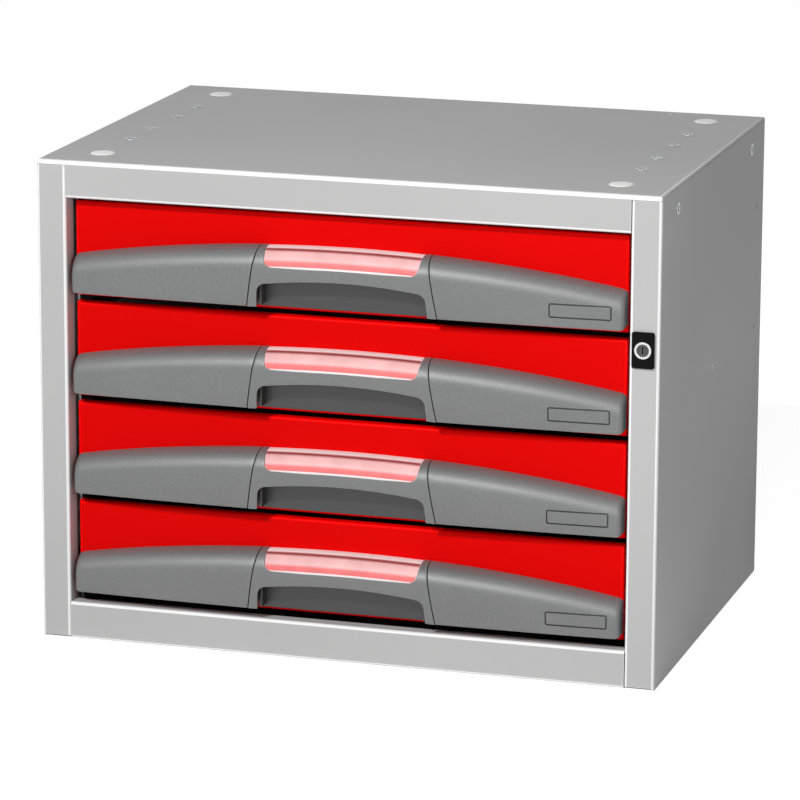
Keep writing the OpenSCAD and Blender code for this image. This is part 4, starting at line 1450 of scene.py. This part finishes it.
    def _grip_edge(self) -> tuple[tuple, tuple]:
        """Gives the finger opening's right edge, from the bottom to the corner and from there to the middle.

        Returns:
            x and s along each of the two stretches.
        """
        bow, sizes = self.bow, self.sizes
        radius, corner_z = sizes.grip_corner, sizes.grip.high
        lower = np.linspace(bow.lift, corner_z - radius * LEG_END, CORNER_STEPS)[:-1]
        turn = arc_steps(CORNER_STEPS)
        centre_x = sizes.grip.half(corner_z - radius) - radius
        centre_z = corner_z - radius + self._arch(centre_x)
        curve = (centre_x + radius * np.cos(turn), centre_z + radius * np.sin(turn))
        across = np.linspace(centre_x, 0.0, MIDDLE_STEPS)[1:]
        leg = (np.append(sizes.grip.half(lower), curve[0][:HALF_CORNER + 1]),
               np.append(lower, curve[1][:HALF_CORNER + 1]))
        bar = (np.append(curve[0][HALF_CORNER:], across),
               np.append(curve[1][HALF_CORNER:], corner_z + self._arch(across)))
        return tuple((x, bow.s_at_height(x, z)) for x, z in (leg, bar))

    def _arch(self, x: Grid) -> Grid:
        """How far the finger opening's top rises towards the middle."""
        return self.sizes.grip_rise * (1 - (x / self.sizes.grip.half_high) ** 2)

    def _window_edge(self) -> tuple[tuple, tuple]:
        """Gives the window's right edge from the corner to the back, and from the corner along the sill.

        Returns:
            x and s along each of the two stretches.
        """
        bow, sizes = self.bow, self.sizes
        window, radius = sizes.window, sizes.window_corner
        turn = arc_steps(CORNER_STEPS)
        centre_x = window.half(window.low + radius) - radius
        x, z = centre_x + radius * np.sin(turn), window.low + radius * (1 - np.cos(turn))
        s = bow.s_at_height(x, z)
        upper = np.linspace(s[-1], bow.s_at_back(window.half_high), BACK_STEPS)[1:]
        side = (np.append(x[HALF_CORNER:], self._seam_x(upper, window)), np.append(s[HALF_CORNER:], upper))
        across = np.linspace(centre_x, 0.0, MIDDLE_STEPS)[1:]
        x = np.append(x[HALF_CORNER::-1], across)
        z = np.append(z[HALF_CORNER::-1], np.full(across.size, window.low))
        return side, (x, bow.s_at_height(x, z))

    def _cover(self) -> Pattern:
        """Makes the straight pattern of the clear label cover.

        Returns:
            The pattern.
        """
        bow, sizes = self.bow, self.sizes
        play, radius = sizes.cover_play, sizes.window_corner
        across = np.linspace(0.0, 1.0, COVER_STEPS)[None, :]
        low = bow.s_at_height(0.0, sizes.window.low + play)
        levels = np.append(low + radius * (1 - np.cos(arc_steps(COVER_CORNER)[:-1])),
                           np.linspace(low + radius, bow.s_at_back(0.0), COVER_ROWS))
        half = self._seam_x(levels, sizes.window) - play
        lifted = np.clip((low + radius - levels) / radius, 0.0, 1.0)
        half = half - radius * (1 - np.sqrt(1 - lifted**2))
        x = half[:, None] * across
        s = np.minimum(np.broadcast_to(levels[:, None], x.shape), bow.s_at_back(x, (play, play)))
        pattern = Pattern()
        self._surface(pattern, x, s, (sizes.cover_sink, sizes.cover_sink))
        pattern.mirror()
        return pattern

    def _rise(self, piece: Piece, base: float) -> Grid:
        """How far up the window each vertex lies, from 0 at the sill to 1 at the handle's top.

        Args:
            piece: The cover.
            base: Height of the drawer front's bottom.

        Returns:
            A number for each vertex.
        """
        place = np.array([vertex.co for vertex in piece.data.vertices])
        height = self.bow.straighten(place[:, 0], self.bow.front - place[:, 1], place[:, 2] - base)[1]
        low = self.sizes.window.low
        return np.clip((height - low) / (self.bow.top - low), 0.0, 1.0)

    def _cut_field(self, wing: Piece, base: float) -> None:
        """Cuts the fine groove around the plain label field into the right wing, and paints the groove's faces dark
        as shade.

        Args:
            wing: The right wing.
            base: Height of the drawer front's bottom.
        """
        sizes = self.sizes
        half_x, half_z, middle_x, middle_z = sizes.field
        loops = []
        for inset in (0.0, sizes.groove):
            radius = sizes.field_corner - INNER_CORNER * inset
            quarter = np.repeat(np.arange(4) * math.pi / 2.0, FIELD_CORNER)
            turn = quarter + np.tile(arc_steps(FIELD_CORNER), 4)
            middle = quarter + math.pi / 4.0
            loops.append((middle_x + np.sign(np.cos(middle)) * (half_x - inset - radius) + radius * np.cos(turn),
                          middle_z + np.sign(np.sin(middle)) * (half_z - inset - radius) + radius * np.sin(turn)))
        columns = []
        for loop, sink in ((0, -1.0), (1, -1.0), (1, 1.0), (0, 1.0), (0, -1.0)):
            x, z = (self._fine(np.append(values, values[0])) for values in loops[loop])
            depth = sink * sizes.groove_depth
            columns.append((x, *self.bow.section(self.bow.s_at_height(x, z), depth, depth)))
        pattern = Pattern()
        pattern.patch(*(np.stack(values, axis=1) for values in zip(*columns)))
        cutter = self._bent("field_cutter", pattern, base)
        # The cutter's faces, which become the groove, are marked recess: painted shade.
        for piece, depth in ((cutter, 1.0), (wing, 0.0)):
            mark(piece, "recess", np.full(len(piece.data.polygons), depth), "FACE")
        modify(wing, "BOOLEAN", object=cutter, operation="DIFFERENCE", solver="EXACT")
        bake_modifiers(wing)
        bpy.data.objects.remove(cutter)
        smooth(wing, 40.0)

    @staticmethod
    def _fine(values: Grid, between: int = 3) -> Grid:
        """Adds even steps between the points of a loop."""
        index = np.arange(values.size)
        return np.interp(np.linspace(0, values.size - 1, (values.size - 1) * between + 1), index, values)

    def _add_scoop(self, centre: Piece, base: float) -> None:
        """Joins the finger scoop's back plate, side ribs and the shelf under the window to the moulding, all painted
        dark as shade.

        Args:
            centre: The centre moulding.
            base: Height of the drawer front's bottom.
        """
        bow, sizes = self.bow, self.sizes
        back = bow.front + bow.recess
        sill = base + sizes.window.low
        boxes = [
            ((-sizes.scoop_half, back - sizes.scoop_wall, base + sizes.scoop_foot), (sizes.scoop_half, back, sill)),
            ((-sizes.scoop_low_half, back - sizes.scoop_low_wall, base + sizes.scoop_low_foot),
             (sizes.scoop_low_half, back - sizes.scoop_low_gap, base + sizes.grip.high)),
            ((-sizes.rib_half, bow.front - sizes.shelf_ahead, sill - sizes.scoop_wall),
             (sizes.rib_half, back, sill)),
        ]
        for x in (-sizes.rib_half, sizes.rib_half):
            boxes.append(((x - sizes.scoop_wall / 2, bow.front - sizes.rib_ahead,
                           base + bow.lift + sizes.rib_foot),
                          (x + sizes.scoop_wall / 2, back, sill)))
        with opened(centre.data) as work:
            recess = work.verts.layers.float.new("recess")
            outer = set(work.verts)
            for low, high in boxes:
                size = Vector(high) - Vector(low)
                matrix = Matrix.Translation((Vector(low) + Vector(high)) / 2) @ Matrix.Diagonal((*size, 1.0))
                made = bmesh.ops.create_cube(work, size=1.0, matrix=matrix)["verts"]
                edges = {edge for vertex in made for edge in vertex.link_edges}
                bmesh.ops.bevel(work, geom=list(edges), offset=sizes.scoop_edge, segments=2, affect="EDGES",
                                profile=0.5)
            # Every vertex of the plates, ribs and shelf is marked recess: painted shade.
            for vertex in set(work.verts) - outer:
                vertex[recess] = 1.0


# ---- Studio ----


@dataclass(frozen=True)
class Lamp:
    """A soft rectangular lamp aimed at the cabinet."""

    name: str
    azimuth: float
    elevation: float
    distance: float
    size: tuple[float, float]
    power: float
    target: tuple[float, float, float] = (0.0, -0.1, 0.2)

    def build(self) -> Piece:
        """Adds the lamp. Azimuth 0 is in front of the cabinet and grows to the right.

        Returns:
            The lamp.
        """
        data = bpy.data.lights.new(self.name, "AREA")
        data.shape = "RECTANGLE"
        data.size, data.size_y = self.size
        data.energy = self.power
        lamp = bpy.data.objects.new(self.name, data)
        bpy.context.scene.collection.objects.link(lamp)
        turn, rise = math.radians(self.azimuth), math.radians(self.elevation)
        way = Vector((math.sin(turn) * math.cos(rise), -math.cos(turn) * math.cos(rise), math.sin(rise)))
        lamp.location = Vector(self.target) + way * self.distance
        lamp.rotation_euler = way.to_track_quat("Z", "Y").to_euler()
        lamp.visible_camera = False
        return lamp


@dataclass(frozen=True)
class Studio:
    """Pale floor, white surroundings, soft lamps and the camera."""

    lamps: tuple[Lamp, ...] = (
        Lamp("key", -17.0, 37.0, 3.2, (0.25, 0.25), 72.0),
        Lamp("front_right", 22.0, 20.0, 1.2, (0.4, 0.4), 5.4, (0.24, -0.2, 0.3)),
    )
    floor_half: float = 14.0
    floor_gap: float = 0.4 * MM
    ambient: float = 0.02
    lift: float = 0.93
    camera_place: tuple[float, float, float] = (1.15947, -3.89915, 1.18017)
    yaw: float = 0.2911679
    pitch: float = 0.2379377
    roll: float = 0.0045848
    lens: float = 204.0129
    sensor: float = 36.0

    def build(self) -> None:
        """Adds everything around the cabinet."""
        for lamp in self.lamps:
            lamp.build()
        self._floor()
        self._world()
        self._camera()
        bpy.context.scene.view_settings.view_transform = "Standard"

    @staticmethod
    def _seen(graph: Graph) -> Socket:
        """1 on what the camera sees straight, in a reflection or through something clear, and 0 on light.

        Args:
            graph: The tree that asks.

        Returns:
            The number.
        """
        path = graph.add("ShaderNodeLightPath").outputs
        mirrored = graph.math("ADD", path["Is Glossy Ray"], path["Is Transmission Ray"])
        return graph.math("ADD", path["Is Camera Ray"], mirrored, clamp=True)

    def _floor(self) -> None:
        """Adds a floor that stays almost white and keeps the cabinet's shadow."""
        half = self.floor_half
        mesh = bpy.data.meshes.new("floor")
        mesh.from_pydata([(x, y, -self.floor_gap) for x, y in ((-half, -half), (half, -half), (half, half),
                                                               (-half, half))], [], [(0, 1, 2, 3)])
        floor = new_object("floor", mesh)
        material = bpy.data.materials.new("floor_paper")
        material.use_nodes = True
        graph = Graph(material.node_tree)
        material.node_tree.nodes.clear()
        paper = graph.add("ShaderNodeBsdfDiffuse", {"Color": (0.8, 0.8, 0.8, 1.0)})
        lift = graph.add("ShaderNodeEmission", {"Strength": graph.math("MULTIPLY", self._seen(graph), self.lift)})
        both = graph.add("ShaderNodeAddShader", {0: paper.outputs[0], 1: lift.outputs[0]})
        graph.add("ShaderNodeOutputMaterial", {"Surface": both.outputs[0]})
        dress(floor, material)

    def _world(self) -> None:
        """Surrounds the scene with white that lights it softly."""
        world = bpy.data.worlds.new("studio")
        world.use_nodes = True
        bpy.context.scene.world = world
        world.node_tree.nodes.clear()
        graph = Graph(world.node_tree)
        strength = graph.remap(self._seen(graph), 0.0, 1.0, self.ambient, 1.0)
        light = graph.add("ShaderNodeBackground", {"Color": (1.0, 1.0, 1.0, 1.0), "Strength": strength})
        graph.add("ShaderNodeOutputWorld", {"Surface": light.outputs[0]})

    def _camera(self) -> None:
        """Adds the camera."""
        data = bpy.data.cameras.new("camera")
        data.lens = self.lens
        data.sensor_width = self.sensor
        data.clip_end = 100.0
        camera = bpy.data.objects.new("camera", data)
        bpy.context.scene.collection.objects.link(camera)
        ahead = Vector((-math.sin(self.yaw) * math.cos(self.pitch), math.cos(self.yaw) * math.cos(self.pitch),
                        -math.sin(self.pitch)))
        right = Vector((math.cos(self.yaw), math.sin(self.yaw), 0.0))
        up = right.cross(ahead)
        turn = Matrix.Rotation(-self.roll, 3, ahead)
        axes = Matrix((turn @ right, turn @ up, -ahead)).transposed()
        camera.matrix_world = Matrix.Translation(self.camera_place) @ axes.to_4x4()
        bpy.context.scene.camera = camera


def main() -> None:
    """Builds the cabinet's sub-assemblies in order."""
    logging.basicConfig(level=logging.INFO, format="%(message)s")
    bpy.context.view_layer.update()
    shop = FinishShop()
    slots = Slots(frame["record"])
    fasteners = FastenerTree()
    Case(shop, slots, fasteners).build()
    Lock(shop, slots, fasteners).build()
    box = DrawerBox(shop, slots, fasteners)
    for number in DRAWERS:
        box.build(number)
    Handle(shop, slots, fasteners, BowTree(), HandleSizes()).build()
    Studio().build()


if __name__ == "__main__":
    main()
